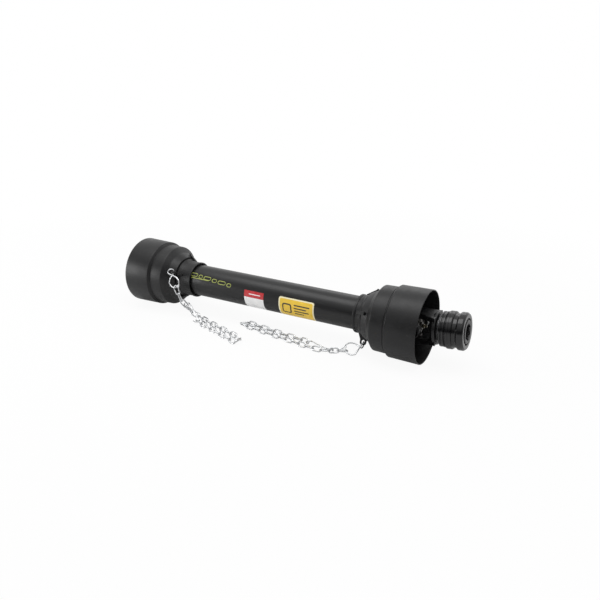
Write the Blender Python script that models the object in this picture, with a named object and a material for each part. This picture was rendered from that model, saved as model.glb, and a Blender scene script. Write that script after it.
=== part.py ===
"""PTO drive shaft with telescoping plastic guards, two universal joints and quick-release splined yokes.

The shaft lies along X on its two guard cones. Each half is modelled in its own frame: the origin is the centre of
its universal joint and +X points out of the mouth of its guard cone. "Depth" is measured inward from that mouth.
"""
import math

import bmesh
import bpy
from mathutils import Matrix, Vector

mm = 0.001

# Clearances
GAP = 0.3 * mm
RUNNING = 0.5 * mm

# Whole shaft
CROSS_TO_CROSS = 660 * mm
MOUTH_OVERHANG = 23.5 * mm
ROUND = 24
CONE_ROUND = 30
CAP_ROUND = 12

# Guard cone
MOUTH_RADIUS = 75.0 * mm
CONE_WALL = 2.2 * mm
SHOULDER_DEPTH = 63.0 * mm
SHOULDER_RADIUS = 73.6 * mm
STEP_DROP = 3.2 * mm
TAPER_DEPTH = 94.0 * mm
TAPER_RADIUS = 67.0 * mm
NECK_DEPTH = 117.0 * mm
NECK_RADIUS = 47.2 * mm

# Guard tubes
OUTER_TUBE_RADIUS = 35.0 * mm
OUTER_TUBE_WALL = 2.3 * mm
INNER_TUBE_WALL = 2.5 * mm
TUBE_CLEARANCE = 0.7 * mm
INNER_TUBE_LENGTH = 377.0 * mm
TUBE_SEAT_DEPTH = 127.0 * mm

# Guard collars
COLLAR_FRONT_RADIUS = 45.0 * mm
COLLAR_REAR_RADIUS = 39.6 * mm
COLLAR_LENGTH = 36.0 * mm
RECESS_LENGTH = 14.0 * mm
RECESS_CLEARANCE = 2.0 * mm
TUBE_STOP = 2.0 * mm
TAB_COUNT = 4
TAB_WIDTH = 7.0 * mm
TAB_PAD_WIDTH = 16.0 * mm
NUB_RADIUS = 58.5 * mm
EYE_DEPTH = 124.0 * mm
EYE_RADIUS = 55.5 * mm
EYE_HOLE = 3.9 * mm
EYE_RIM = 2.9 * mm
RIGHT_EYE_ANGLE = 155.0
LEFT_EYE_ANGLE = 62.0

# Nylon bearing rings
RING_WIDTH = 7.0 * mm
RING_OUTER_RADIUS = 38.6 * mm
RING_SLIT = 6.0 * mm
GROOVE_RADIUS = 27.0 * mm

# Universal joints
CROSS_LENGTH = 61.3 * mm
CAP_RADIUS = 11.9 * mm
CAP_WALL = 3.9 * mm
CAP_LENGTH = 14.0 * mm
TRUNNION_RADIUS = 7.5 * mm
CROSS_BODY_RADIUS = 11.0 * mm
NIPPLE_LENGTH = 9.0 * mm
EAR_RADIUS = 17.0 * mm
EAR_INNER = 20.5 * mm
EAR_OUTER = 34.2 * mm
CROTCH = 37.0 * mm
SNAP_RING_THICKNESS = 1.5 * mm
SNAP_RING_INNER = 9.4 * mm
SNAP_GROOVE_DEPTH = 1.0 * mm

# Tube yokes and profile tubes
TUBE_HUB_RADIUS = 29.0 * mm
TUBE_HUB_END_DEPTH = 132.0 * mm
SOCKET_DEPTH = 75.0 * mm
OUTER_PROFILE_RADIUS = 22.3 * mm
PROFILE_LOBE = 2.3 * mm
PROFILE_WALL = 3.2 * mm
PROFILE_CLEARANCE = 0.5 * mm
OUTER_PROFILE_LENGTH = 428.0 * mm
INNER_PROFILE_LENGTH = 478.0 * mm
ROLL_PIN_RADIUS = 4.0 * mm
ROLL_PIN_BORE = 2.0 * mm
ROLL_PIN_DEPTH = 92.0 * mm

# Splined yokes
YOKE_BASE_RADIUS = 32.5 * mm
YOKE_BASE_END = 47.0 * mm
YOKE_HUB_RADIUS = 23.5 * mm
YOKE_FACE = 103.0 * mm
SPLINE_COUNT = 6
SPLINE_MAJOR_RADIUS = 17.45 * mm
SPLINE_MINOR_RADIUS = 14.85 * mm
SPLINE_SPACE_WIDTH = 8.7 * mm

# Quick release
COLLAR_TRAVEL = 6.0 * mm
COLLAR_BACK = 54.0 * mm
COLLAR_FACE = 102.0 * mm
COLLAR_RIM_RADIUS = 37.0 * mm
COLLAR_GRIP_RADIUS = 34.8 * mm
COLLAR_NECK_RADIUS = 33.4 * mm
SPRING_ROOM_RADIUS = 30.2 * mm
SPRING_ROOM_END = 80.0 * mm
RELEASE_GROOVE_RADIUS = 26.6 * mm
RETAINER_PLACE = 97.0 * mm
RETAINER_THICKNESS = 1.6 * mm
RETAINER_STAND = 2.2 * mm
RETAINER_SEAT = 1.4 * mm
BALL_COUNT = 3
BALL_RADIUS = 4.0 * mm
BALL_PLACE = 90.0 * mm
BALL_STAND = 19.4 * mm
SPRING_WIRE = 2.2 * mm
SPRING_TURNS = 4

# Chains and wire hooks
LINK_WIRE = 3.0 * mm
LINK_WIDTH = 13.0 * mm
LINK_PITCH = 18.0 * mm
LINK_BITE = 0.45 * mm
HOOK_WIRE = 2.8 * mm
HOOK_CROSSING = 1.7 * mm
COIL_RADIUS = 6.6 * mm
CLIP_LENGTH = 36.0 * mm
CLIP_HALF_WIDTH = 15.5 * mm
HOOK_SEAT = 2.2 * mm
LINK_SEAT = 5.6 * mm
BEND_REACH = 9.0 * mm

# How each chain lies: x and y in mm from its eye, and the share of its drop to the floor
RIGHT_ROUTE = [(-46.5, -26.5, 1), (-62, -35, 1), (-80, -40.5, 1), (-116.5, -37.6, 1), (-156, -31, 1),
               (-210.5, -23, 1), (-262, -14.5, 1), (-292, -8.5, 1), (-304, 1, 1), (-293, 9, 1),
               (-275, 7, 1), (-224.6, 0.8, 1), (-171, -4.8, 1), (-145, -8.5, 1), (-127, -14, 1), (-108, -21, 1)]
RIGHT_CLIP = (Vector((0, -0.42, -0.91)), Vector((0, 0.91, -0.42)),
              Vector((-0.78, -0.5, -0.36)), Vector((-0.66, 0.58, 0.45)))
RIGHT_CLIPPED_LINK = 1
LEFT_ROUTE = [(21.5, -5, 0.5), (29.5, -2, 0.64), (38.5, 1, 0.8), (45.5, 4, 0.93), (56, 6.5, 1), (82, -4.6, 1),
              (112.6, -16.7, 1), (144, -27.4, 1), (178, -39, 1), (201, -47.5, 1), (217, -59, 1), (211, -71, 1),
              (193, -65, 1), (152, -50.3, 1), (116, -36.7, 1), (82.3, -23.8, 1), (62, -15, 1)]
LEFT_CLIP = (Vector((-1, -0.3, 0.12)), Vector((0, 0.36, 0.93)),
             Vector((0.436, -0.2, -0.88)), Vector((0.9, 0, 0.436)))
LEFT_CLIPPED_LINK = 2

# How the joints stand at rest, in degrees
RIGHT_PITCH_UP = 4.5
RIGHT_SWING_BACK = 0.0
LEFT_PITCH_UP = -10.0
LEFT_SWING_BACK = 30.0

# Sizes that follow
HALF = CROSS_TO_CROSS / 2
MOUTH_PLACE = HALF + MOUTH_OVERHANG
FLOOR = -MOUTH_RADIUS
INNER_TUBE_RADIUS = OUTER_TUBE_RADIUS - OUTER_TUBE_WALL - TUBE_CLEARANCE
LEFT_COLLAR_LENGTH = COLLAR_LENGTH + RECESS_LENGTH
INNER_PROFILE_RADIUS = OUTER_PROFILE_RADIUS - PROFILE_WALL - PROFILE_CLEARANCE
RING_DEPTH = NECK_DEPTH + GAP
EAR_BORE = CAP_RADIUS + GAP
SNAP_RING_PLACE = CROSS_LENGTH / 2 + GAP
CHAIN_LIE = (LINK_WIDTH - LINK_WIRE) / 2 * math.sin(math.radians(45)) + LINK_WIRE / 2

BLACK_PLASTIC = ("black_guard_plastic", (0.018, 0.018, 0.019), 0.42, 0.0)
COLLAR_PLASTIC = ("black_collar_plastic", (0.014, 0.014, 0.015), 0.5, 0.0)
NYLON = ("ring_nylon", (0.62, 0.6, 0.53), 0.5, 0.0)
BLACK_PAINT = ("black_yoke_paint", (0.02, 0.02, 0.022), 0.25, 0.0)
TUBE_STEEL = ("profile_tube_steel", (0.34, 0.34, 0.35), 0.4, 1.0)
BRIGHT_STEEL = ("bright_steel", (0.62, 0.62, 0.63), 0.25, 1.0)
ZINC_WIRE = ("zinc_wire", (0.78, 0.79, 0.8), 0.3, 1.0)
SPRING_STEEL = ("spring_steel", (0.28, 0.28, 0.3), 0.35, 1.0)
BRASS = ("nipple_zinc", (0.7, 0.62, 0.4), 0.3, 1.0)


# Scene and materials

def clear_scene():
    for thing in list(bpy.data.objects):
        bpy.data.objects.remove(thing, do_unlink=True)


def own_material(node, finish):
    """A separate material for each sub-part, from one of the finishes above."""
    kind, colour, roughness, metallic = finish
    material = bpy.data.materials.new(f"{node}.{kind}")
    material.use_nodes = True
    shader = material.node_tree.nodes["Principled BSDF"]
    shader.inputs["Base Color"].default_value = (*colour, 1.0)
    shader.inputs["Roughness"].default_value = roughness
    shader.inputs["Metallic"].default_value = metallic
    material.diffuse_color = (*colour, 1.0)
    return material


def empty(name, parent=None, place=(0, 0, 0), turn=(0, 0, 0)):
    """A pivot or an assembly frame; turn is in degrees about X, Y and Z."""
    pivot = bpy.data.objects.new(name, None)
    pivot.empty_display_size = 0.03
    pivot.location = place
    pivot.rotation_euler = [math.radians(angle) for angle in turn]
    pivot.parent = parent
    bpy.context.collection.objects.link(pivot)
    return pivot


def place_part(node, mesh, parent, finish, place=(0, 0, 0), turn=(0, 0, 0)):
    """A named sub-part with its own mesh and material, in its parent's frame."""
    mesh = whole_faces(mesh, node)
    mesh.materials.append(own_material(node, finish))
    part = bpy.data.objects.new(node, mesh)
    part.location = place
    part.rotation_euler = [math.radians(angle) for angle in turn]
    part.parent = parent
    bpy.context.collection.objects.link(part)
    mesh.shade_smooth()
    mesh.set_sharp_from_angle(angle=math.radians(32))
    return part


# Shapes

def whole_faces(mesh, name):
    """A copy of a mesh whose many-cornered faces are split into triangles."""
    bm = bmesh.new()
    bm.from_mesh(mesh)
    bmesh.ops.triangulate(bm, faces=[face for face in bm.faces if len(face.verts) > 4])
    copy = bpy.data.meshes.new(name)
    bm.to_mesh(copy)
    bm.free()
    return copy


def finish_mesh(bm, name, turn=None):
    if turn is not None:
        bm.transform(turn)
    bmesh.ops.remove_doubles(bm, verts=bm.verts, dist=0.002 * mm)
    bmesh.ops.recalc_face_normals(bm, faces=bm.faces)
    mesh = bpy.data.meshes.new(name)
    bm.to_mesh(mesh)
    bm.free()
    return mesh


def rounded(corners, steps=3):
    """Outline points from corners (x, y) or (x, y, radius); a corner with a radius becomes an arc."""
    points = []
    count = len(corners)
    for i, corner in enumerate(corners):
        here = Vector(corner[:2])
        radius = corner[2] if len(corner) > 2 else 0
        if not radius:
            points.append(here)
            continue
        before = (Vector(corners[i - 1][:2]) - here).normalized()
        after = (Vector(corners[(i + 1) % count][:2]) - here).normalized()
        half_angle = before.angle(after) / 2
        reach = radius / math.tan(half_angle)
        centre = here + (before + after).normalized() * (radius / math.sin(half_angle))
        start = here + before * reach - centre
        sweep = start.angle_signed(here + after * reach - centre)
        for k in range(steps + 1):
            turn = Matrix.Rotation(-sweep * k / steps, 2)
            points.append(centre + turn @ start)
    return points


def turned(name, outline, segments=ROUND, closed=True, sweep=360.0):
    """Spins an outline of (x, radius) points about X. An open outline starts and ends on the axis."""
    bm = bmesh.new()
    verts = [bm.verts.new((x, 0, radius)) for x, radius in outline]
    edges = [bm.edges.new(pair) for pair in zip(verts, verts[1:])]
    if closed:
        edges.append(bm.edges.new((verts[-1], verts[0])))
    whole = sweep >= 360.0
    bmesh.ops.spin(bm, geom=verts + edges, cent=(0, 0, 0), axis=(1, 0, 0),
                   angle=math.radians(sweep), steps=segments, use_merge=whole)
    if not whole:
        bmesh.ops.holes_fill(bm, edges=[edge for edge in bm.edges if edge.is_boundary])
    return finish_mesh(bm, name)


def prism(name, outline, low, high, turn=None):
    """Extrudes a flat outline in XY from z = low to z = high."""
    bm = bmesh.new()
    face = bm.faces.new([bm.verts.new((x, y, low)) for x, y in outline])
    grown = bmesh.ops.extrude_face_region(bm, geom=[face], use_keep_orig=True)
    top = [item for item in grown["geom"] if isinstance(item, bmesh.types.BMVert)]
    bmesh.ops.translate(bm, verts=top, vec=(0, 0, high - low))
    return finish_mesh(bm, name, turn)


def joined(name, pieces):
    """One mesh from several (mesh, matrix) pairs, still separate bodies."""
    bm = bmesh.new()
    for mesh, matrix in pieces:
        part = mesh.copy()
        part.transform(matrix)
        bm.from_mesh(part)
        bpy.data.meshes.remove(part)
    mesh = bpy.data.meshes.new(name)
    bm.to_mesh(mesh)
    bm.free()
    return mesh


def combined(body, tool, operation):
    """The Boolean of two meshes, worked out with Blender's exact solver."""
    base = bpy.data.objects.new("base", body)
    cutter = bpy.data.objects.new("cutter", tool)
    cutter.hide_render = True
    cutter.display_type = "WIRE"
    for thing in (base, cutter):
        bpy.context.collection.objects.link(thing)
    modifier = base.modifiers.new(operation.lower(), "BOOLEAN")
    modifier.operation = operation
    modifier.solver = "EXACT"
    modifier.object = cutter
    graph = bpy.context.evaluated_depsgraph_get()
    mesh = bpy.data.meshes.new_from_object(base.evaluated_get(graph))
    for thing in (base, cutter):
        bpy.data.objects.remove(thing, do_unlink=True)
    return mesh


def smooth_line(points, steps):
    """A Catmull-Rom curve through the points, with that many steps between two of them."""
    ends = [points[0] * 2 - points[1], *points, points[-1] * 2 - points[-2]]
    line = []
    for before, start, end, after in zip(ends, ends[1:], ends[2:], ends[3:]):
        for k in range(steps):
            t = k / steps
            line.append(0.5 * (2 * start + (end - before) * t
                               + (2 * before - 5 * start + 4 * end - after) * t * t
                               + (3 * start - before - 3 * end + after) * t ** 3))
    line.append(points[-1])
    return line


def wire(name, line, diameter, cyclic=False, resolution=1):
    """A round wire along a line of points, with filled ends where it is open."""
    curve = bpy.data.curves.new(name, "CURVE")
    curve.dimensions = "3D"
    curve.bevel_depth = diameter / 2
    curve.bevel_resolution = resolution
    curve.use_fill_caps = not cyclic
    spline = curve.splines.new("POLY")
    spline.points.add(len(line) - 1)
    for point, place in zip(spline.points, line):
        point.co = (*place, 1.0)
    spline.use_cyclic_u = cyclic
    rod = bpy.data.objects.new(name, curve)
    bpy.context.collection.objects.link(rod)
    graph = bpy.context.evaluated_depsgraph_get()
    bm = bmesh.new()
    bm.from_mesh(bpy.data.meshes.new_from_object(rod.evaluated_get(graph)))
    bpy.data.objects.remove(rod, do_unlink=True)
    return finish_mesh(bm, name)


def about_x(angle):
    return Matrix.Rotation(math.radians(angle), 4, "X")


def at_depth(depth):
    """The half frame's x for a depth inward from the guard cone's mouth."""
    return MOUTH_OVERHANG - depth


# Guard

def guard_cone():
    """A blow-moulded cone: mouth stage, rounded step, second stage and a rounded taper down to the neck."""
    stage_radius = SHOULDER_RADIUS - STEP_DROP
    neck_hole = TUBE_HUB_RADIUS + 4 * RUNNING
    outer = [
        (at_depth(0), MOUTH_RADIUS),
        (at_depth(SHOULDER_DEPTH), SHOULDER_RADIUS),
        (at_depth(SHOULDER_DEPTH + 0.8 * mm), stage_radius - 0.5 * mm),
        (at_depth(SHOULDER_DEPTH + 3.2 * mm), stage_radius),
        (at_depth(TAPER_DEPTH), TAPER_RADIUS, 11 * mm),
        (at_depth(NECK_DEPTH), NECK_RADIUS),
        (at_depth(NECK_DEPTH), neck_hole),
    ]
    inner = [
        (at_depth(NECK_DEPTH - CONE_WALL), neck_hole),
        (at_depth(NECK_DEPTH - CONE_WALL), NECK_RADIUS - 0.6 * CONE_WALL),
        (at_depth(TAPER_DEPTH - 5 * mm), TAPER_RADIUS - CONE_WALL),
        (at_depth(TAPER_DEPTH + 3 * mm), TAPER_RADIUS - CONE_WALL - 4.5 * mm),
        (at_depth(SHOULDER_DEPTH + CONE_WALL), stage_radius - CONE_WALL - 0.5 * mm),
        (at_depth(SHOULDER_DEPTH - CONE_WALL), SHOULDER_RADIUS - CONE_WALL),
        (at_depth(0), MOUTH_RADIUS - CONE_WALL),
    ]
    return turned("guard_cone", rounded(outer + inner, steps=2), CONE_ROUND)


def tab_outline(eye):
    """Side view of a clip tab, (x, radius): it rises from the collar and its nub hooks over the cone's taper."""
    slope = (TAPER_RADIUS - NECK_RADIUS) / (NECK_DEPTH - TAPER_DEPTH)
    reach = NECK_DEPTH - 6.0 * mm
    under_nub = NECK_RADIUS + (NECK_DEPTH - reach) * slope + 0.9 * mm
    front = NECK_DEPTH + GAP
    outline = [
        (at_depth(front + COLLAR_LENGTH - 8 * mm), COLLAR_REAR_RADIUS - 1.5 * mm),
        (at_depth(front + COLLAR_LENGTH - 8 * mm), COLLAR_REAR_RADIUS + 1.8 * mm, 1 * mm),
        (at_depth(front + 10 * mm), COLLAR_FRONT_RADIUS + 4.5 * mm, 4 * mm),
        (at_depth(NECK_DEPTH - 1.5 * mm), NUB_RADIUS - 3 * mm, 2 * mm),
        (at_depth(reach + 1.5 * mm), NUB_RADIUS, 1 * mm),
        (at_depth(reach - 0.5 * mm), NUB_RADIUS - 1.5 * mm, 0.8 * mm),
        (at_depth(reach), under_nub),
        (at_depth(front), NECK_RADIUS + 1.0 * mm),
        (at_depth(front), COLLAR_FRONT_RADIUS - 2 * mm),
    ]
    if eye:
        rim = EYE_HOLE + EYE_RIM
        outline[2:8] = [
            (at_depth(EYE_DEPTH + rim), EYE_RADIUS - 0.6 * rim, 3 * mm),
            (at_depth(EYE_DEPTH + 0.9 * rim), EYE_RADIUS + rim, 4 * mm),
            (at_depth(EYE_DEPTH - 0.9 * rim), EYE_RADIUS + rim, 4 * mm),
            (at_depth(front), EYE_RADIUS - 0.6 * rim),
        ]
    return rounded(outline, steps=1)


def guard_collar(tube_radius, length, recess, eye_angle):
    """The moulded ring that locks cone, bearing ring and guard tube together, with clip tabs and a chain eye."""
    front = NECK_DEPTH + GAP
    back = NECK_DEPTH + length
    ring_room = RING_OUTER_RADIUS + RUNNING
    tube_room = tube_radius + GAP
    outline = [
        (at_depth(front), COLLAR_FRONT_RADIUS),
        (at_depth(front + 9 * mm), COLLAR_FRONT_RADIUS),
        (at_depth(front + 14 * mm), COLLAR_REAR_RADIUS + 1.5 * mm),
        (at_depth(back - 5 * mm), COLLAR_REAR_RADIUS),
        (at_depth(back - 4 * mm), COLLAR_REAR_RADIUS + 1.2 * mm),
        (at_depth(back), COLLAR_REAR_RADIUS + 1.2 * mm),
    ]
    if recess:
        recess_room = OUTER_TUBE_RADIUS + RECESS_CLEARANCE
        outline += [
            (at_depth(back), recess_room),
            (at_depth(back - recess), recess_room),
            (at_depth(back - recess), tube_room),
        ]
    else:
        outline += [(at_depth(back), tube_room)]
    outline += [
        (at_depth(TUBE_SEAT_DEPTH - GAP), tube_room),
        (at_depth(TUBE_SEAT_DEPTH - GAP), ring_room),
        (at_depth(front), ring_room),
    ]
    ring = turned("collar_ring", outline)
    tabs = []
    for k in range(TAB_COUNT):
        eye = k == 0
        width = TAB_WIDTH * (0.8 if eye else 1)
        stand = Matrix.Rotation(math.radians(90), 4, "X")
        tab = prism("tab", tab_outline(eye), -width / 2, width / 2, stand)
        tabs.append((tab, about_x(eye_angle + 360 * k / TAB_COUNT)))
    collar = combined(ring, joined("tabs", tabs), "UNION")
    hole = turned("eye_hole", [(-9 * mm, 0), (-9 * mm, EYE_HOLE), (9 * mm, EYE_HOLE), (9 * mm, 0)], 10, False)
    hole.transform(Matrix.Rotation(math.radians(90), 4, "Z"))
    hole.transform(Matrix.Translation((at_depth(EYE_DEPTH), 0, EYE_RADIUS)))
    hole.transform(about_x(eye_angle))
    return combined(collar, hole, "DIFFERENCE")


def bearing_ring():
    """The split nylon ring that runs in the tube yoke's groove and carries the guard."""
    inner = GROOVE_RADIUS + RUNNING
    front = at_depth(RING_DEPTH + GAP)
    back = at_depth(RING_DEPTH + GAP + RING_WIDTH)
    ring = turned("bearing_ring", [(front, inner), (front, RING_OUTER_RADIUS),
                                   (back, RING_OUTER_RADIUS), (back, inner)])
    slit = [(front + mm, -RING_SLIT / 2), (front + mm, RING_SLIT / 2),
            (back - mm, RING_SLIT / 2), (back - mm, -RING_SLIT / 2)]
    return combined(ring, prism("slit", slit, inner - 3 * mm, RING_OUTER_RADIUS + 3 * mm), "DIFFERENCE")


def guard_tube(radius, wall, start, length):
    ends = (start, start - length)
    return turned("guard_tube", [(ends[0], radius - wall), (ends[0], radius),
                                 (ends[1], radius), (ends[1], radius - wall)])


# Drive line

def lobed(radius, grow=0.0, count=24):
    """Section of the three-lobed profile tube, as (y, z) points."""
    points = []
    for k in range(count):
        angle = 2 * math.pi * k / count
        reach = radius + grow + PROFILE_LOBE * math.cos(3 * angle)
        points.append((reach * math.cos(angle), reach * math.sin(angle)))
    return points


def along_x(name, outline, low, high):
    """Extrudes a (y, z) outline along X."""
    axes = Matrix(((0, 0, 1, 0), (1, 0, 0, 0), (0, 1, 0, 0), (0, 0, 0, 1)))
    return prism(name, outline, low, high, axes)


def profile_tube(radius, start, length):
    """A cold-drawn tube whose lobes pass the torque while it slides."""
    bm = bmesh.new()
    loops = []
    for grow in (0.0, -PROFILE_WALL):
        verts = [bm.verts.new((start, y, z)) for y, z in lobed(radius, grow)]
        loops.append([bm.edges.new((verts[i - 1], verts[i])) for i in range(len(verts))])
    ring = bmesh.ops.bridge_loops(bm, edges=loops[0] + loops[1])
    grown = bmesh.ops.extrude_face_region(bm, geom=ring["faces"], use_keep_orig=True)
    far = [item for item in grown["geom"] if isinstance(item, bmesh.types.BMVert)]
    bmesh.ops.translate(bm, verts=far, vec=(-length, 0, 0))
    return finish_mesh(bm, "profile_tube")


def fork():
    """A yoke's fork: base towards +X, its two ears on the Y axis."""
    base_end = YOKE_BASE_END - mm
    plan_side = [
        (-EAR_RADIUS - mm, EAR_OUTER),
        (0.45 * EAR_RADIUS, EAR_OUTER, 8 * mm),
        (CROTCH - 6 * mm, YOKE_BASE_RADIUS - 2.5 * mm, 6 * mm),
        (base_end, TUBE_HUB_RADIUS - mm),
    ]
    crotch_side = [
        (CROTCH, EAR_INNER, 9 * mm),
        (-EAR_RADIUS - mm, EAR_INNER),
    ]
    outline = plan_side + [(x, -y, *rest) for x, y, *rest in reversed(plan_side)]
    outline += [(x, -y, *rest) for x, y, *rest in reversed(crotch_side)] + crotch_side
    plan = prism("fork_plan", rounded(outline, steps=3), -40 * mm, 40 * mm)
    ear = [(-EAR_RADIUS * math.sin(math.radians(a)), EAR_RADIUS * math.cos(math.radians(a)))
           for a in range(0, 181, 20)]
    flank = [(0.95 * EAR_RADIUS, -EAR_RADIUS), (CROTCH - 2 * mm, -EAR_RADIUS - 5 * mm),
             (base_end + mm, -TUBE_HUB_RADIUS + 2 * mm)]
    flank += [(x, -z) for x, z in reversed(flank)]
    side = prism("fork_side", ear + flank, -45 * mm, 45 * mm, Matrix.Rotation(math.radians(90), 4, "X"))
    return combined(plan, side, "INTERSECT")


def ear_bores():
    """Cutter for both ears' bearing bores along Y, with a snap-ring groove in each."""
    groove_low = SNAP_RING_PLACE - GAP
    groove_high = SNAP_RING_PLACE + SNAP_RING_THICKNESS + GAP
    groove = EAR_BORE + SNAP_GROOVE_DEPTH
    half = [(groove_low, EAR_BORE), (groove_low, groove), (groove_high, groove), (groove_high, EAR_BORE),
            (EAR_OUTER + 4 * mm, EAR_BORE), (EAR_OUTER + 4 * mm, 0)]
    outline = [(-x, r) for x, r in reversed(half)] + half
    mesh = turned("ear_bores", outline, CAP_ROUND, closed=False)
    mesh.transform(Matrix.Rotation(math.radians(90), 4, "Z"))
    return mesh


def tube_yoke(profile_radius, lobe_turn):
    """Inner yoke: fork, hub with the guard's bearing groove, and a lobed socket for the profile tube."""
    hub_end = -at_depth(TUBE_HUB_END_DEPTH)
    groove_start = -at_depth(RING_DEPTH)
    groove_end = groove_start + RING_WIDTH + 2 * GAP
    outline = [
        (CROTCH + 1 * mm, 0), (CROTCH + 1 * mm, TUBE_HUB_RADIUS - 5 * mm),
        (YOKE_BASE_END, TUBE_HUB_RADIUS), (groove_start, TUBE_HUB_RADIUS), (groove_start, GROOVE_RADIUS),
        (groove_end, GROOVE_RADIUS), (groove_end, TUBE_HUB_RADIUS), (hub_end - mm, TUBE_HUB_RADIUS),
        (hub_end, TUBE_HUB_RADIUS - mm), (hub_end, 0),
    ]
    hub = turned("tube_yoke_hub", outline, closed=False)
    yoke = combined(fork(), hub, "UNION")
    yoke = combined(yoke, ear_bores(), "DIFFERENCE")
    yoke.transform(Matrix.Rotation(math.radians(180), 4, "Z"))
    socket = along_x("socket", lobed(profile_radius, GAP), -hub_end - 5 * mm, at_depth(SOCKET_DEPTH) + GAP)
    socket.transform(about_x(lobe_turn))
    yoke = combined(yoke, socket, "DIFFERENCE")
    return combined(yoke, pin_hole(), "DIFFERENCE")


def pin_hole():
    radius = ROLL_PIN_RADIUS + GAP
    reach = TUBE_HUB_RADIUS + 5 * mm
    mesh = turned("pin_hole", [(-reach, 0), (-reach, radius), (reach, radius), (reach, 0)], 10, closed=False)
    mesh.transform(Matrix.Rotation(math.radians(90), 4, "Y"))
    mesh.transform(Matrix.Translation((at_depth(ROLL_PIN_DEPTH), 0, 0)))
    return mesh


def roll_pin():
    """A spring pin rolled from strip, seen as a tube, through yoke and profile tube."""
    reach = TUBE_HUB_RADIUS - 0.8 * mm
    outline = [(-reach, ROLL_PIN_BORE), (-reach, ROLL_PIN_RADIUS), (reach, ROLL_PIN_RADIUS), (reach, ROLL_PIN_BORE)]
    mesh = turned("roll_pin", outline, 10)
    mesh.transform(Matrix.Rotation(math.radians(90), 4, "Y"))
    mesh.transform(Matrix.Translation((at_depth(ROLL_PIN_DEPTH), 0, 0)))
    return mesh


def cross():
    """Four trunnions on one body, with a boss for the grease nipple towards +X."""
    reach = CROSS_LENGTH / 2 - CAP_WALL + 0.3 * mm
    shoulder = CROSS_LENGTH / 2 - CAP_LENGTH - GAP
    arm = [(-reach, 0), (-reach, TRUNNION_RADIUS), (-shoulder, TRUNNION_RADIUS), (-shoulder + mm, CROSS_BODY_RADIUS),
           (shoulder - mm, CROSS_BODY_RADIUS), (shoulder, TRUNNION_RADIUS), (reach, TRUNNION_RADIUS), (reach, 0)]
    along_y = turned("trunnion_y", arm, 10, closed=False)
    along_y.transform(Matrix.Rotation(math.radians(90), 4, "Z"))
    along_z = turned("trunnion_z", arm, 10, closed=False)
    along_z.transform(Matrix.Rotation(math.radians(90), 4, "Y"))
    boss_end = CROSS_BODY_RADIUS + 2.5 * mm
    boss = turned("boss", [(-boss_end, 0), (-boss_end, 8 * mm), (boss_end, 8 * mm), (boss_end, 0)], 10, closed=False)
    return combined(combined(along_y, along_z, "UNION"), boss, "UNION")


def grease_nipple():
    foot = CROSS_BODY_RADIUS + 2.5 * mm + GAP
    outline = [(foot, 0), (foot, 4.2 * mm), (foot + 0.4 * NIPPLE_LENGTH, 4.2 * mm),
               (foot + 0.45 * NIPPLE_LENGTH, 2.3 * mm), (foot + 0.75 * NIPPLE_LENGTH, 3.0 * mm),
               (foot + NIPPLE_LENGTH, 1.8 * mm), (foot + NIPPLE_LENGTH, 0)]
    return turned("grease_nipple", outline, 6, closed=False)


def bearing_cap():
    """A closed needle cup on the +X end of a trunnion, open towards the cross."""
    end = CROSS_LENGTH / 2
    mouth = end - CAP_LENGTH
    room = TRUNNION_RADIUS + RUNNING
    outline = [(end, 0), (end, CAP_RADIUS - 0.8 * mm), (end - 0.8 * mm, CAP_RADIUS), (mouth, CAP_RADIUS),
               (mouth, room), (end - CAP_WALL + 2 * GAP, room), (end - CAP_WALL + 2 * GAP, 0)]
    return turned("bearing_cap", outline, CAP_ROUND, closed=False)


def snap_ring():
    """An open ring in the ear's groove, outside the bearing cap."""
    low = SNAP_RING_PLACE
    high = SNAP_RING_PLACE + SNAP_RING_THICKNESS
    outer = EAR_BORE + SNAP_GROOVE_DEPTH - GAP
    outline = [(low, SNAP_RING_INNER), (low, outer), (high, outer), (high, SNAP_RING_INNER)]
    return turned("snap_ring", outline, CAP_ROUND - 1, sweep=360 * (CAP_ROUND - 1) / CAP_ROUND)


def on_axis(mesh, towards):
    """A copy of a piece modelled along +X, turned to point along another axis of the joint."""
    turned_copy = mesh.copy()
    turned_copy.transform(Vector((1, 0, 0)).rotation_difference(Vector(towards)).to_matrix().to_4x4())
    return turned_copy


# Splined yoke and quick release

def spline_section():
    """The bore's section, (y, z): one space for each spline of the shaft that it takes."""
    points = []
    half_space = math.degrees(math.asin(SPLINE_SPACE_WIDTH / 2 / SPLINE_MAJOR_RADIUS))
    half_mouth = math.degrees(math.asin(SPLINE_SPACE_WIDTH / 2 / SPLINE_MINOR_RADIUS))
    step = 360 / SPLINE_COUNT
    for k in range(SPLINE_COUNT):
        for radius, angle in ((SPLINE_MAJOR_RADIUS, -half_space), (SPLINE_MAJOR_RADIUS, 0.0),
                              (SPLINE_MAJOR_RADIUS, half_space), (SPLINE_MINOR_RADIUS, half_mouth),
                              (SPLINE_MINOR_RADIUS, step - half_mouth)):
            turn = math.radians(k * step + angle)
            points.append((-radius * math.sin(turn), radius * math.cos(turn)))
    return points


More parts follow.
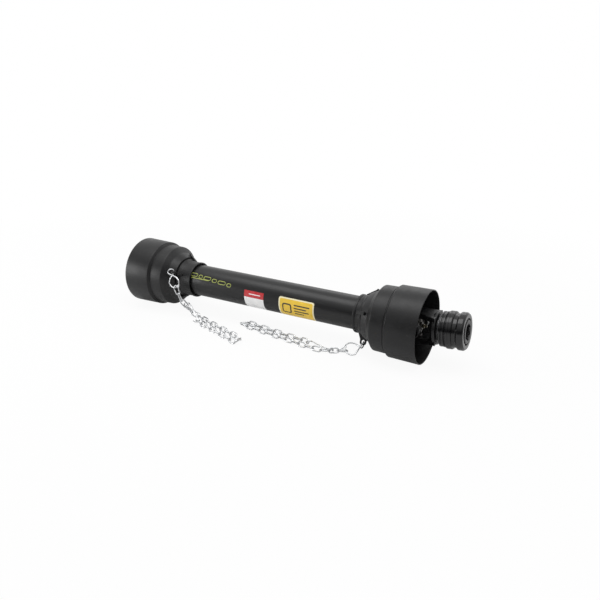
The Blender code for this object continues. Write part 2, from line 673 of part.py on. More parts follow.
def splined_yoke():
    """Outer yoke: fork, rounded base and a long hub with the six-spline bore and three ball holes."""
    hub_outline = [
        (CROTCH + mm, 0), (CROTCH + mm, YOKE_BASE_RADIUS - 3 * mm), (CROTCH + 4 * mm, YOKE_BASE_RADIUS),
        (YOKE_BASE_END, YOKE_BASE_RADIUS), (YOKE_BASE_END, YOKE_HUB_RADIUS),
        (RETAINER_PLACE, YOKE_HUB_RADIUS), (RETAINER_PLACE, YOKE_HUB_RADIUS - RETAINER_SEAT),
        (RETAINER_PLACE + RETAINER_THICKNESS + 2 * GAP, YOKE_HUB_RADIUS - RETAINER_SEAT),
        (RETAINER_PLACE + RETAINER_THICKNESS + 2 * GAP, YOKE_HUB_RADIUS),
        (YOKE_FACE - mm, YOKE_HUB_RADIUS), (YOKE_FACE, YOKE_HUB_RADIUS - mm), (YOKE_FACE, 0),
    ]
    hub = turned("yoke_hub", hub_outline, closed=False)
    prongs = fork()
    prongs.transform(about_x(90))
    bores = ear_bores()
    bores.transform(about_x(90))
    yoke = combined(prongs, hub, "UNION")
    yoke = combined(yoke, bores, "DIFFERENCE")
    bore = along_x("spline_bore", spline_section(), CROTCH - 12 * mm, YOKE_FACE + 5 * mm)
    yoke = combined(yoke, bore, "DIFFERENCE")
    holes = []
    for k in range(BALL_COUNT):
        low = SPLINE_MINOR_RADIUS - 4 * mm
        high = YOKE_HUB_RADIUS + 4 * mm
        radius = BALL_RADIUS + GAP
        hole = turned("ball_hole", [(low, 0), (low, radius), (high, radius), (high, 0)], 8, closed=False)
        stand = Matrix.Translation((BALL_PLACE, 0, 0)) @ Matrix.Rotation(math.radians(-90), 4, "Y")
        holes.append((hole, about_x(360 * k / BALL_COUNT) @ stand))
    return combined(yoke, joined("ball_holes", holes), "DIFFERENCE")


def release_collar():
    """The ribbed sleeve that is pulled back to free the balls: grip, band, neck and end flange."""
    land = YOKE_HUB_RADIUS + GAP
    land_end = RETAINER_PLACE - GAP / 2
    outline = [
        (COLLAR_BACK, COLLAR_GRIP_RADIUS), (COLLAR_BACK + 4.4 * mm, COLLAR_GRIP_RADIUS),
        (COLLAR_BACK + 5.1 * mm, COLLAR_NECK_RADIUS), (COLLAR_BACK + 5.8 * mm, COLLAR_GRIP_RADIUS),
        (COLLAR_BACK + 10.6 * mm, COLLAR_GRIP_RADIUS), (COLLAR_BACK + 11.4 * mm, COLLAR_NECK_RADIUS),
        (COLLAR_BACK + 13.2 * mm, COLLAR_RIM_RADIUS), (COLLAR_BACK + 24 * mm, COLLAR_RIM_RADIUS),
        (COLLAR_BACK + 25.4 * mm, COLLAR_NECK_RADIUS), (COLLAR_FACE - 14.4 * mm, COLLAR_NECK_RADIUS),
        (COLLAR_FACE - 12 * mm, COLLAR_RIM_RADIUS), (COLLAR_FACE - 3.4 * mm, COLLAR_RIM_RADIUS),
        (COLLAR_FACE, COLLAR_RIM_RADIUS - 2.5 * mm),
        (COLLAR_FACE, RELEASE_GROOVE_RADIUS), (land_end, RELEASE_GROOVE_RADIUS), (land_end, land),
        (SPRING_ROOM_END, land), (SPRING_ROOM_END, SPRING_ROOM_RADIUS), (COLLAR_BACK, SPRING_ROOM_RADIUS),
    ]
    return turned("release_collar", outline)


def retaining_ring():
    low = RETAINER_PLACE + GAP
    high = low + RETAINER_THICKNESS
    inner = YOKE_HUB_RADIUS - RETAINER_SEAT + GAP
    outer = YOKE_HUB_RADIUS + RETAINER_STAND
    return turned("retaining_ring", [(low, inner), (low, outer), (high, outer), (high, inner)],
                  ROUND - 1, sweep=360 * (ROUND - 1) / ROUND)


def release_spring():
    """A coil between the yoke's base and the end of the collar's counterbore."""
    middle = (YOKE_HUB_RADIUS + SPRING_ROOM_RADIUS) / 2
    low = YOKE_BASE_END + SPRING_WIRE / 2 + GAP
    high = SPRING_ROOM_END - SPRING_WIRE / 2 - GAP
    count = 10 * SPRING_TURNS
    line = []
    for k in range(count + 1):
        turn = 2 * math.pi * SPRING_TURNS * k / count
        place = low + (high - low) * k / count
        line.append((place, middle * math.cos(turn), middle * math.sin(turn)))
    return wire("release_spring", line, SPRING_WIRE, resolution=0)


def lock_ball():
    bm = bmesh.new()
    bmesh.ops.create_uvsphere(bm, u_segments=8, v_segments=5, radius=BALL_RADIUS)
    return finish_mesh(bm, "lock_ball")


# Chains and hooks

def link():
    """One round-wire link along X, a flat loop in XY."""
    bend = (LINK_WIDTH - LINK_WIRE) / 2
    straight = (LINK_PITCH + LINK_WIRE - LINK_BITE) / 2 - bend
    loop = []
    for end in (1, -1):
        for angle in (-90, -30, 30, 90):
            turn = math.radians(angle)
            loop.append((end * (straight + bend * math.cos(turn)), end * bend * math.sin(turn), 0.0))
    return wire("link", loop, LINK_WIRE, cyclic=True, resolution=0)


def hang_points(line, pitch):
    """Points on a dense line, each one pitch from the last: where one link hangs in the next."""
    found = [line[0]]
    for before, after in zip(line, line[1:]):
        while (after - found[-1]).length >= pitch > (before - found[-1]).length:
            run = after - before
            lead = before - found[-1]
            middle = lead.dot(run)
            reach = math.sqrt(middle ** 2 - run.length_squared * (lead.length_squared - pitch ** 2))
            share = (reach - middle) / run.length_squared
            found.append(before + run * share)
    return found


def chain(route, roll):
    """Links hooked through each other along the route, every other one turned a quarter, and each one's frame."""
    places = hang_points(smooth_line(route, 60), LINK_PITCH)
    loop = link()
    frames = []
    for k, (start, end) in enumerate(zip(places, places[1:])):
        ahead = (end - start).normalized()
        side = ahead.cross(Vector((0, 0, 1))).normalized()
        lie = Matrix((ahead, side, ahead.cross(side))).transposed().to_4x4()
        frames.append(Matrix.Translation((start + end) / 2) @ lie @ about_x(roll + 90 * (k % 2)))
    odd = joined("odd_links", [(loop, frame) for frame in frames[1::2]])
    even = joined("even_links", [(loop, frame) for frame in frames[0::2]])
    return combined(odd, even, "UNION"), frames


def hook_coil(centre, out, up, start, end, rise):
    """Points round a hook's small coil, from one angle to another, rising along its axis by the given height."""
    axis = out.cross(up)
    points = []
    count = 7
    for k in range(count):
        share = k / (count - 1)
        angle = math.radians(start + (end - start) * share)
        flat = out * math.cos(angle) + up * math.sin(angle)
        points.append(centre + flat * COIL_RADIUS + axis * rise * (share - 0.5))
    return points


def clip_hook(eye, coil_side, through, along, across):
    """The safety-pin clip in the collar's eye: a coil through the eye, and two arms that spread and meet."""
    along = along.normalized()
    across = (across - along * across.dot(along)).normalized()
    normal = along.cross(across)
    through = through.normalized()
    coil_side = (coil_side - through * coil_side.dot(through)).normalized()
    centre = eye + coil_side * COIL_RADIUS
    coil = hook_coil(centre, -coil_side, through, -40, 220, 2 * HOOK_CROSSING)
    near_arm = [(0.9, 0.62), (1.0, 0.25), (0.98, -0.3), (0.84, -0.78), (0.6, -1.0), (0.38, -0.66)]
    far_arm = [(0.38, 0.66), (0.62, 1.05), (0.88, 1.0), (1.08, 0.72), (1.3, 0.6)]

    def arm(shares, lift):
        return [centre + along * u * CLIP_LENGTH + across * v * CLIP_HALF_WIDTH + normal * lift for u, v in shares]

    line = arm(near_arm, -HOOK_CROSSING) + coil + arm(far_arm, HOOK_CROSSING)
    return smooth_line(line, 2), centre + along * CLIP_LENGTH - normal * HOOK_CROSSING


def end_hook(clipped, last, turn):
    """The chain's end hook: its coil holds the last link and its open end is clipped through an earlier link."""
    ahead, side, place = last.col[0].xyz, Vector((0, 0, turn)).cross(last.col[0].xyz), last.translation
    centre = place + ahead * (LINK_SEAT + COIL_RADIUS)
    coil = hook_coil(centre, ahead, side, 75, 290, 0.0)
    along, over, normal = (clipped.col[k].xyz for k in range(3))
    if over.z < 0:
        over = -over
    if normal.dot(centre - clipped.translation) > 0:
        normal = -normal
    steps = [(1.4, -1.0, 0.6), (0.5, -0.92, 0.55), (0.18, -0.36, 0.08), (0.16, 0.36, 0.0),
             (0.55, 0.92, 0.0), (1.35, 1.1, -0.05), (1.9, 1.25, 0.1)]
    bend = [clipped.translation + along * a * BEND_REACH + normal * n * BEND_REACH + over * c * BEND_REACH
            for a, n, c in steps]
    return smooth_line(coil + bend, 2)


def eye_place(side):
    """The middle of a chain eye in the shaft's own frame; side is 1 for the right half and -1 for the left."""
    angle = math.radians(RIGHT_EYE_ANGLE if side > 0 else LEFT_EYE_ANGLE)
    reach = side * (HALF + at_depth(EYE_DEPTH))
    return Vector((reach, -EYE_RADIUS * math.sin(angle), EYE_RADIUS * math.cos(angle)))


def chain_set(name, root, side, clip, route, clipped_link, turn):
    """One safety chain with both hooks, on a pivot at the collar's eye."""
    eye = eye_place(side)
    pivot = empty(f"{name}_chain_pivot", root, eye)
    line, seat = clip_hook(Vector(), *clip)
    floor_drop = FLOOR + CHAIN_LIE - eye.z - seat.z
    lie = [Vector((x * mm, y * mm, seat.z + share * floor_drop)) for x, y, share in route]
    start = seat + (seat - lie[0]).normalized() * HOOK_SEAT
    links, frames = chain([start, *lie], 45)
    place_part(f"{name}_hook", wire("hook", line, HOOK_WIRE), pivot, ZINC_WIRE)
    place_part(f"{name}_chain", links, pivot, ZINC_WIRE)
    last_line = end_hook(frames[clipped_link], frames[-1], turn)
    place_part(f"{name}_end_hook", wire("end_hook", last_line, HOOK_WIRE), pivot, ZINC_WIRE)


# Assembly

def joint_set(name, half, side, pitch_up, swing_back):
    """Cross, bearing caps, snap rings, splined yoke and quick release of one half."""
    cross_pivot = empty(f"{name}_cross_pivot", half, turn=(0, -pitch_up, 0))
    yoke_pivot = empty(f"{name}_yoke_pivot", cross_pivot, turn=(0, 0, side * swing_back))
    place_part(f"{name}_cross", cross(), cross_pivot, BRIGHT_STEEL)
    place_part(f"{name}_grease_nipple", grease_nipple(), cross_pivot, BRASS)
    cap, ring = bearing_cap(), snap_ring()
    ends = {"rear": (half, (0, 1, 0)), "front": (half, (0, -1, 0)),
            "top": (yoke_pivot, (0, 0, 1)), "bottom": (yoke_pivot, (0, 0, -1))}
    for end, (parent, towards) in ends.items():
        place_part(f"{name}_cap_{end}", on_axis(cap, towards), parent, BRIGHT_STEEL)
        place_part(f"{name}_snap_ring_{end}", on_axis(ring, towards), parent, SPRING_STEEL)
    place_part(f"{name}_splined_yoke", splined_yoke(), yoke_pivot, BLACK_PAINT)
    place_part(f"{name}_release_collar", release_collar(), yoke_pivot, BLACK_PAINT)
    place_part(f"{name}_collar_spring", release_spring(), yoke_pivot, SPRING_STEEL)
    place_part(f"{name}_retaining_ring", retaining_ring(), yoke_pivot, SPRING_STEEL)
    ball = lock_ball()
    for k in range(BALL_COUNT):
        angle = 360 * k / BALL_COUNT
        spot = about_x(angle) @ Vector((BALL_PLACE, 0, BALL_STAND))
        place_part(f"{name}_lock_ball_{k + 1}", ball, yoke_pivot, BRIGHT_STEEL, spot, (angle, 0, 0))


def build():
    clear_scene()
    root = empty("pto_shaft")
    right = empty("right_half", root, (HALF, 0, 0))
    left = empty("left_half", root, (-HALF, 0, 0), (0, 0, 180))
    drive = {"right": (right, OUTER_PROFILE_RADIUS, 0), "left": (left, INNER_PROFILE_RADIUS, 180)}

    cone = guard_cone()
    ring = bearing_ring()
    place_part("right_guard_cone", cone, right, BLACK_PLASTIC)
    place_part("left_guard_cone", cone, left, BLACK_PLASTIC)
    place_part("right_bearing_ring", ring, right, NYLON)
    place_part("left_bearing_ring", ring, left, NYLON)
    collar = guard_collar(OUTER_TUBE_RADIUS, COLLAR_LENGTH, 0, RIGHT_EYE_ANGLE)
    place_part("right_guard_collar", collar, right, COLLAR_PLASTIC)
    collar = guard_collar(INNER_TUBE_RADIUS, LEFT_COLLAR_LENGTH, RECESS_LENGTH, -LEFT_EYE_ANGLE)
    place_part("left_guard_collar", collar, left, COLLAR_PLASTIC)
    seat = at_depth(TUBE_SEAT_DEPTH)
    recess_floor = -HALF - at_depth(NECK_DEPTH + LEFT_COLLAR_LENGTH - RECESS_LENGTH)
    outer_length = HALF + seat - recess_floor - TUBE_STOP
    outer = guard_tube(OUTER_TUBE_RADIUS, OUTER_TUBE_WALL, seat, outer_length)
    place_part("outer_guard_tube", outer, right, BLACK_PLASTIC)
    inner = guard_tube(INNER_TUBE_RADIUS, INNER_TUBE_WALL, seat, INNER_TUBE_LENGTH)
    place_part("inner_guard_tube", inner, left, BLACK_PLASTIC)

    profile_start = at_depth(SOCKET_DEPTH)
    lengths = {"outer": OUTER_PROFILE_LENGTH, "inner": INNER_PROFILE_LENGTH}
    for (name, length), (half, radius, lobe_turn) in zip(lengths.items(), drive.values()):
        tube = profile_tube(radius, profile_start, length)
        tube.transform(about_x(lobe_turn))
        place_part(f"{name}_profile_tube", combined(tube, pin_hole(), "DIFFERENCE"), half, TUBE_STEEL)
    for name, (half, radius, lobe_turn) in drive.items():
        place_part(f"{name}_tube_yoke", tube_yoke(radius, lobe_turn), half, BLACK_PAINT)
        place_part(f"{name}_roll_pin", roll_pin(), half, SPRING_STEEL)
    joint_set("right", right, 1, RIGHT_PITCH_UP, RIGHT_SWING_BACK)
    joint_set("left", left, -1, LEFT_PITCH_UP, LEFT_SWING_BACK)

    chain_set("right", root, 1, RIGHT_CLIP, RIGHT_ROUTE, RIGHT_CLIPPED_LINK, -1)
    chain_set("left", root, -1, LEFT_CLIP, LEFT_ROUTE, LEFT_CLIPPED_LINK, 1)

    bpy.context.view_layer.update()
    corners = [thing.matrix_world @ vertex.co
               for thing in bpy.data.objects if thing.type == "MESH" for vertex in thing.data.vertices]
    low = Vector([min(corner[k] for corner in corners) for k in range(3)])
    high = Vector([max(corner[k] for corner in corners) for k in range(3)])
    root.location = -Vector(((low.x + high.x) / 2, (low.y + high.y) / 2, low.z))
    bpy.context.view_layer.update()


build()
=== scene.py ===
"""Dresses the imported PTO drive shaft: moulded guards, chains, yokes, quick-release collars and their finishes."""

import math
from types import SimpleNamespace

import bmesh
import bpy
from bpy.props import FloatProperty, FloatVectorProperty, IntProperty, PointerProperty
from mathutils import Matrix, Quaternion, Vector


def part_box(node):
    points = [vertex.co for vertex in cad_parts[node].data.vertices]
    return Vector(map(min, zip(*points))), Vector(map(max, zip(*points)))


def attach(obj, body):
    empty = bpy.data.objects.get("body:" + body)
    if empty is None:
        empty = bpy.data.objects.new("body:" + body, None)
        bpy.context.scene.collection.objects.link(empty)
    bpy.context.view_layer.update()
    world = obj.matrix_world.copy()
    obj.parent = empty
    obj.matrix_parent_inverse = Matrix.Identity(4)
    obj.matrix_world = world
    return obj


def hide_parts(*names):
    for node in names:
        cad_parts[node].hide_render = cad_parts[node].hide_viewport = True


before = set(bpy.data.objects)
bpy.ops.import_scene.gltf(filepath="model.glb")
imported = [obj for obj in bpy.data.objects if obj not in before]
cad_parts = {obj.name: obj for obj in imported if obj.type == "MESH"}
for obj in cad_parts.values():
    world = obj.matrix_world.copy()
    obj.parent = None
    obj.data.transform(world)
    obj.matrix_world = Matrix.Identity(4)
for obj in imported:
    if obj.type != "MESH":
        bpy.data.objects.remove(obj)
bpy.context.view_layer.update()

bl_info = {
    "name": "PTO Drive Shaft",
    "version": (1, 0, 0),
    "blender": (4, 5, 0),
    "location": "3D View > Sidebar > Drive Shaft",
    "description": "Guards, chains, universal joints, finishes and studio of a telescoping PTO drive shaft",
    "category": "Add Mesh",
}

mm = 0.001

FIT = 0.3  # Clearance in millimetres of pieces that seat in each other
SHARP = 38.0  # Edges over this angle in degrees stay sharp
BEND_RUN = 10.5  # How far the cone's taper runs, in millimetres, before it bends towards the neck
BEND_SHARE = 0.4  # The taper's share in the radius at that bend; the rest is the neck's

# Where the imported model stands: the mouths of both guard cones and the middle of the shaft
RIGHT_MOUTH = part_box("right_guard_cone")[1]
LEFT_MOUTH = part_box("left_guard_cone")[0]
AXIS = (sum(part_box("right_guard_cone"), Vector()) / 2).yz
SHAFT = Vector(((RIGHT_MOUTH.x + LEFT_MOUTH.x) / 2, *AXIS))

# Stands a flat outline across the shaft: its x and y become Y and Z
ACROSS = Matrix(((0, 0, 1, 0), (1, 0, 0, 0), (0, 1, 0, 0), (0, 0, 0, 1)))


def size(name, value, description):
    """A length that a user may change, given in millimetres and kept in metres."""
    return FloatProperty(name=name, description=description, default=value * mm, min=0.0, unit="LENGTH", precision=5)


def angle(name, value, description):
    return FloatProperty(name=name, description=description, default=math.radians(value), subtype="ANGLE")


def paint(name, value, description):
    return FloatVectorProperty(name=name, description=description, default=value, min=0.0, max=1.0, subtype="COLOR")


class DriveShaftGuard(bpy.types.PropertyGroup):
    """Sizes of the plastic guard."""
    overhang: size("Overhang", 23.5, "From the cross centre to the cone's mouth")
    mouth: size("Mouth radius", 75.0, "Outer radius of the cone at its mouth")
    wall: size("Cone wall", 2.2, "Wall of the blow-moulded cone")
    shoulder_depth: size("Shoulder depth", 63.2, "Depth of the step between the cone's two stages")
    shoulder: size("Shoulder radius", 73.6, "Radius of the mouth stage at the step")
    step: size("Step length", 3.4, "Length of the slope from one stage to the other")
    drop: size("Step drop", 5.2, "How far the second stage stands back")
    taper_depth: size("Taper depth", 96.5, "Depth where the taper begins")
    taper: size("Taper radius", 67.6, "Radius where the taper begins")
    neck_depth: size("Neck depth", 117.0, "Depth of the cone's rear face")
    lip: size("Lip", 5.5, "How far the cone's lip reaches over the collar")
    neck: size("Neck radius", 47.2, "Radius of the cone at its neck")
    neck_hole: size("Neck hole", 31.0, "Hole in the cone's rear face")
    collar_front: size("Collar front radius", 43.6, "Radius of the guard collar's front band")
    collar_rear: size("Collar rear radius", 39.0, "Radius of the guard collar's sleeve")
    collar_length: size("Collar length", 27.5, "Length of the outer tube's collar")
    recess: size("Recess", 14.0, "How much longer the inner tube's collar is, where the outer tube enters it")
    tube_seat: size("Tube seat", 127.0, "Depth where the guard tubes begin")
    tube: size("Outer tube radius", 35.0, "Outer radius of the outer guard tube")
    tube_wall: size("Outer tube wall", 2.3, "Wall of the outer guard tube")
    inner_tube: size("Inner tube radius", 32.0, "Outer radius of the inner guard tube")
    inner_wall: size("Inner tube wall", 2.5, "Wall of the inner guard tube")
    ring_room: size("Ring room", 39.1, "Room in the collar for the bearing ring")
    eye_depth: size("Eye depth", 124.0, "Depth of the chain eye")
    eye_radius: size("Eye radius", 55.5, "Distance of the chain eye from the shaft's axis")
    eye_hole: size("Eye hole", 3.9, "Radius of the hole in the chain eye")
    eye_rim: size("Eye rim", 2.9, "Width of material round that hole")
    nub: size("Nub radius", 56.4, "Distance of a clip tab's nub from the axis")
    right_eye: angle("Right eye angle", 155.0, "Place of the right chain eye round the collar")
    left_eye: angle("Left eye angle", 62.0, "Place of the left chain eye round the collar")


class DriveShaftJoint(bpy.types.PropertyGroup):
    """Sizes of the universal joints and the quick release."""
    ear: size("Ear radius", 17.0, "Half the width of a fork's ear")
    ear_inner: size("Ear inside", 20.5, "Distance of an ear's inner face from the axis")
    ear_outer: size("Ear outside", 34.2, "Distance of an ear's outer face from the axis")
    crotch: size("Crotch", 37.0, "Depth of the fork")
    cap: size("Cap radius", 11.9, "Radius of a bearing cap")
    cap_length: size("Cap length", 14.0, "Length of a bearing cap")
    cross_length: size("Cross length", 61.3, "Length of the cross over its caps")
    trunnion: size("Trunnion radius", 7.5, "Radius of the cross's arms in their caps")
    cross_body: size("Cross body radius", 11.0, "Radius of the cross's arms at its middle")
    base: size("Yoke base radius", 32.5, "Radius of the splined yoke's base")
    base_end: size("Yoke base end", 47.0, "Where the splined yoke's base ends")
    hub: size("Hub radius", 23.5, "Radius of the splined yoke's hub")
    face: size("Yoke face", 103.0, "Where the splined yoke's hub ends")
    tube_hub: size("Tube yoke hub radius", 29.0, "Radius of the tube yoke's hub")
    spline_major: size("Spline major radius", 17.45, "Radius of the bore at the bottom of its spaces")
    spline_minor: size("Spline minor radius", 14.85, "Radius of the bore between its spaces")
    spline_space: size("Spline space", 8.7, "Width of a space in the bore")
    wire: size("Spring wire", 2.2, "Wire of the release spring")
    ball: size("Ball radius", 4.0, "Radius of a lock ball")
    right_pitch: angle("Right pitch", 4.5, "How far the right yoke points up")
    right_swing: angle("Right swing", 0.0, "How far the right yoke points back")
    left_pitch: angle("Left pitch", -10.0, "How far the left yoke points up")
    left_swing: angle("Left swing", 30.0, "How far the left yoke points back")


class DriveShaftChain(bpy.types.PropertyGroup):
    """Sizes of the safety chains and their wire hooks."""
    wire: size("Link wire", 3.0, "Wire of a chain link")
    width: size("Link width", 13.0, "Width of a chain link")
    pitch: size("Link pitch", 18.0, "Distance from link to link")
    hook_wire: size("Hook wire", 2.8, "Wire of a hook")
    coil: size("Hook coil", 6.6, "Radius of a hook's small coil")
    clip: size("Clip length", 36.0, "Length of the clip in the collar's eye")
    clip_half: size("Clip half width", 15.5, "Half the width of that clip")
    sides: IntProperty(name="Wire sides", description="Sides of every wire's section", default=12, min=6, max=32)


class DriveShaftColours(bpy.types.PropertyGroup):
    """Base colours of the finishes."""
    guard: paint("Guard plastic", (0.0085, 0.0085, 0.009), "Blow-moulded cones and guard tubes")
    collar: paint("Collar plastic", (0.008, 0.008, 0.0085), "Injection-moulded guard collars")
    paint: paint("Yoke paint", (0.0045, 0.0045, 0.005), "Black paint on the forged parts")
    zinc: paint("Zinc", (0.62, 0.63, 0.64), "Chains and hooks")
    steel: paint("Bright steel", (0.56, 0.56, 0.57), "Ground steel of caps, crosses and balls")
    # Greased steel is darker than a grease film alone would make it: the colour also holds painted shade for the
    # cross, caps and snap rings deep in the cone's mouth.
    grease: paint("Greased steel", (0.11, 0.105, 0.1), "Crosses, caps and snap rings under their grease")
    spring: paint("Spring steel", (0.2, 0.2, 0.21), "Rings, springs and pins")
    tube: paint("Tube steel", (0.3, 0.3, 0.31), "Drawn profile tubes")
    nylon: paint("Nylon", (0.6, 0.58, 0.5), "Bearing rings")
    brass: paint("Nipple", (0.17, 0.145, 0.1), "Yellow-passivated grease nipples")
    yellow: paint("Yellow field", (0.78, 0.52, 0.05), "Yellow film on the guard tube")
    cream: paint("Cream border", (0.8, 0.74, 0.5), "Border of the yellow film")
    red: paint("Red field", (0.47, 0.03, 0.035), "Red film on the guard tube")
    white: paint("White field", (0.82, 0.82, 0.82), "White film on the guard tube")
    print: paint("Print", (0.36, 0.4, 0.09), "Yellow-green print on the guard tube")
    ink: paint("Ink", (0.03, 0.028, 0.02), "Dark bars on the films")
    floor: paint("Floor", (0.86, 0.86, 0.86), "Studio floor")


class DriveShaftStudio(bpy.types.PropertyGroup):
    """Camera and lamps."""
    lens: FloatProperty(name="Lens", description="Focal length in millimetres", default=39.85, min=10.0, max=200.0)
    roll: FloatProperty(name="Roll", description="How far the camera leans to one side", default=0.0093,
                        subtype="ANGLE")
    key: FloatProperty(name="Key lamp", description="Power of the overhead softbox in watts", default=13.0, min=0.0)
    fill: FloatProperty(name="Fill lamp", description="Power of the side softbox in watts", default=14.0, min=0.0)
    rim: FloatProperty(name="Rim lamp", description="Power of the rear strip in watts", default=3.0, min=0.0)
    ambient: FloatProperty(name="Ambient", description="Strength of the room's soft light", default=0.55, min=0.0)
    room: FloatProperty(name="Room", description="How bright the room behind the camera is in reflections",
                        default=0.04, min=0.0)


def in_mm(group):
    """A property group's lengths in millimetres; angles and counts as they are."""
    values = {}
    for name in group.__annotations__:
        value = getattr(group, name)
        length = group.bl_rna.properties[name].unit == "LENGTH"
        values[name] = value / mm if length else value
    return SimpleNamespace(**values)


# Mesh tools. Shapes are drawn in millimetres and brought to metres where they are placed.

def rounded(corners, steps=6):
    """Outline points from corners (x, y) or (x, y, radius); a corner with a radius becomes an arc."""
    points = []
    for i, corner in enumerate(corners):
        here = Vector(corner[:2])
        radius = corner[2] if len(corner) > 2 else 0
        if not radius:
            points.append(here)
            continue
        before = (Vector(corners[i - 1][:2]) - here).normalized()
        after = (Vector(corners[(i + 1) % len(corners)][:2]) - here).normalized()
        half_angle = before.angle(after) / 2
        reach = radius / math.tan(half_angle)
        centre = here + (before + after).normalized() * (radius / math.sin(half_angle))
        start = here + before * reach - centre
        sweep = start.angle_signed(here + after * reach - centre)
        points += [centre + Matrix.Rotation(-sweep * k / steps, 2) @ start for k in range(steps + 1)]
    return points


def linked(name, bm):
    """A new object of the scene that holds the bmesh. The bmesh is freed."""
    mesh = bpy.data.meshes.new(name)
    bm.to_mesh(mesh)
    bm.free()
    made = bpy.data.objects.new(name, mesh)
    bpy.context.scene.collection.objects.link(made)
    return made


def cut_across(bm, place, normal):
    """Splits every face that a plane meets."""
    bmesh.ops.bisect_plane(bm, geom=bm.verts[:] + bm.edges[:] + bm.faces[:], plane_co=place, plane_no=normal)


def circle(radius, count, middle=0.0):
    """Points round a circle whose centre lies on Y."""
    turns = [math.tau * k / count for k in range(count)]
    return [(radius * math.cos(turn), middle + radius * math.sin(turn)) for turn in turns]


def lathe(outline, steps=128, closed=True, sweep=360.0):
    """Spins an outline of (x, radius) points about X. An open outline starts and ends on the axis."""
    bm = bmesh.new()
    verts = [bm.verts.new((x, 0, radius)) for x, radius in outline]
    edges = [bm.edges.new(pair) for pair in zip(verts, verts[1:])]
    if closed:
        edges.append(bm.edges.new((verts[-1], verts[0])))
    whole = sweep >= 360.0
    bmesh.ops.spin(bm, geom=verts + edges, cent=(0, 0, 0), axis=(1, 0, 0),
                   angle=math.radians(sweep), steps=steps, use_merge=whole)
    bmesh.ops.remove_doubles(bm, verts=bm.verts, dist=0.0005)
    if not whole:
        bmesh.ops.holes_fill(bm, edges=[edge for edge in bm.edges if edge.is_boundary])
    bmesh.ops.recalc_face_normals(bm, faces=bm.faces)
    return bm


def slab(outline, low, high, turn=None, soften=0.0):
    """Extrudes a flat outline in XY from z = low to z = high, with softened edges."""
    bm = bmesh.new()
    face = bm.faces.new([bm.verts.new((x, y, low)) for x, y in outline])
    grown = bmesh.ops.extrude_face_region(bm, geom=[face], use_keep_orig=True)
    top = [item for item in grown["geom"] if isinstance(item, bmesh.types.BMVert)]
    bmesh.ops.translate(bm, verts=top, vec=(0, 0, high - low))
    bmesh.ops.recalc_face_normals(bm, faces=bm.faces)
    if soften:
        rims = [edge for edge in bm.edges if abs(edge.verts[0].co.z - edge.verts[1].co.z) < 1e-4]
        bmesh.ops.bevel(bm, geom=rims, offset=soften, offset_type="OFFSET", affect="EDGES",
                        segments=3, profile=0.5, material=-1)
    if turn is not None:
        bm.transform(turn)
    return bm


def grown_ring(bm, ring):
    """Extrudes a ring of edges: its new vertices and the new ring."""
    grown = bmesh.ops.extrude_edge_only(bm, edges=ring)["geom"]
    verts = [item for item in grown if isinstance(item, bmesh.types.BMVert)]
    fresh = set(verts)
    return verts, [item for item in grown if isinstance(item, bmesh.types.BMEdge) and set(item.verts) <= fresh]


def swept(path, radius, sides=12, cyclic=False):
    """A round wire: one circle extruded along the path, ring by ring."""
    bm = bmesh.new()
    count = len(path)
    ahead = []
    for k in range(count):
        before = path[k - 1] if k or cyclic else path[0]
        after = path[(k + 1) % count] if k + 1 < count or cyclic else path[-1]
        ahead.append((after - before).normalized())
    turn = Vector((0, 0, 1)).rotation_difference(ahead[0])
    first = bmesh.ops.create_circle(bm, segments=sides, radius=radius)["verts"]
    bmesh.ops.transform(bm, matrix=Matrix.Translation(path[0]) @ turn.to_matrix().to_4x4(), verts=first)
    first_ring = ring = bm.edges[:]
    for k in range(1, count):
        turn = ahead[k - 1].rotation_difference(ahead[k]).to_matrix().to_4x4()
        move = Matrix.Translation(path[k]) @ turn @ Matrix.Translation(-path[k - 1])
        verts, ring = grown_ring(bm, ring)
        bmesh.ops.transform(bm, matrix=move, verts=verts)
    if cyclic:
        bmesh.ops.bridge_loops(bm, edges=ring + first_ring)
    else:
        round_end(bm, first_ring, -ahead[0], radius)
        round_end(bm, ring, ahead[-1], radius)
    bmesh.ops.recalc_face_normals(bm, faces=bm.faces)
    return bm


def round_end(bm, ring, outwards, radius):
    """Closes a wire's end with a domed tip: two smaller rings and a flat middle."""
    for scale, step in ((0.72, 0.55), (0.3 / 0.72, 0.85 - 0.55)):
        verts, ring = grown_ring(bm, ring)
        middle = sum((vert.co for vert in verts), Vector()) / len(verts)
        bmesh.ops.scale(bm, vec=(scale,) * 3, verts=verts, space=Matrix.Translation(-middle))
        bmesh.ops.translate(bm, vec=outwards * (radius * step), verts=verts)
    bmesh.ops.edgeloop_fill(bm, edges=ring)


def merged(pieces):
    """One bmesh from several (bmesh, matrix) pairs. The pieces are freed."""
    whole = bmesh.new()
    for part, matrix in pieces:
        mesh = bpy.data.meshes.new("part")
        copy = part.copy()
        copy.transform(matrix)
        copy.to_mesh(mesh)
        copy.free()
        whole.from_mesh(mesh)
        bpy.data.meshes.remove(mesh)
    for part in {id(part): part for part, _ in pieces}.values():
        part.free()
    return whole


def through_modifiers(bm, *settings):
    """A bmesh after modifiers, each given as (type, {setting: value})."""
    work = linked("work", bm)
    for kind, values in settings:
        modifier = work.modifiers.new(kind.lower(), kind)
        for name, value in values.items():
            setattr(modifier, name, value)
    graph = bpy.context.evaluated_depsgraph_get()
    result = bpy.data.meshes.new_from_object(work.evaluated_get(graph))
    bm = bmesh.new()
    bm.from_mesh(result)
    used = (work.data, result)
    bpy.data.objects.remove(work)
    for mesh in used:
        bpy.data.meshes.remove(mesh)
    return bm


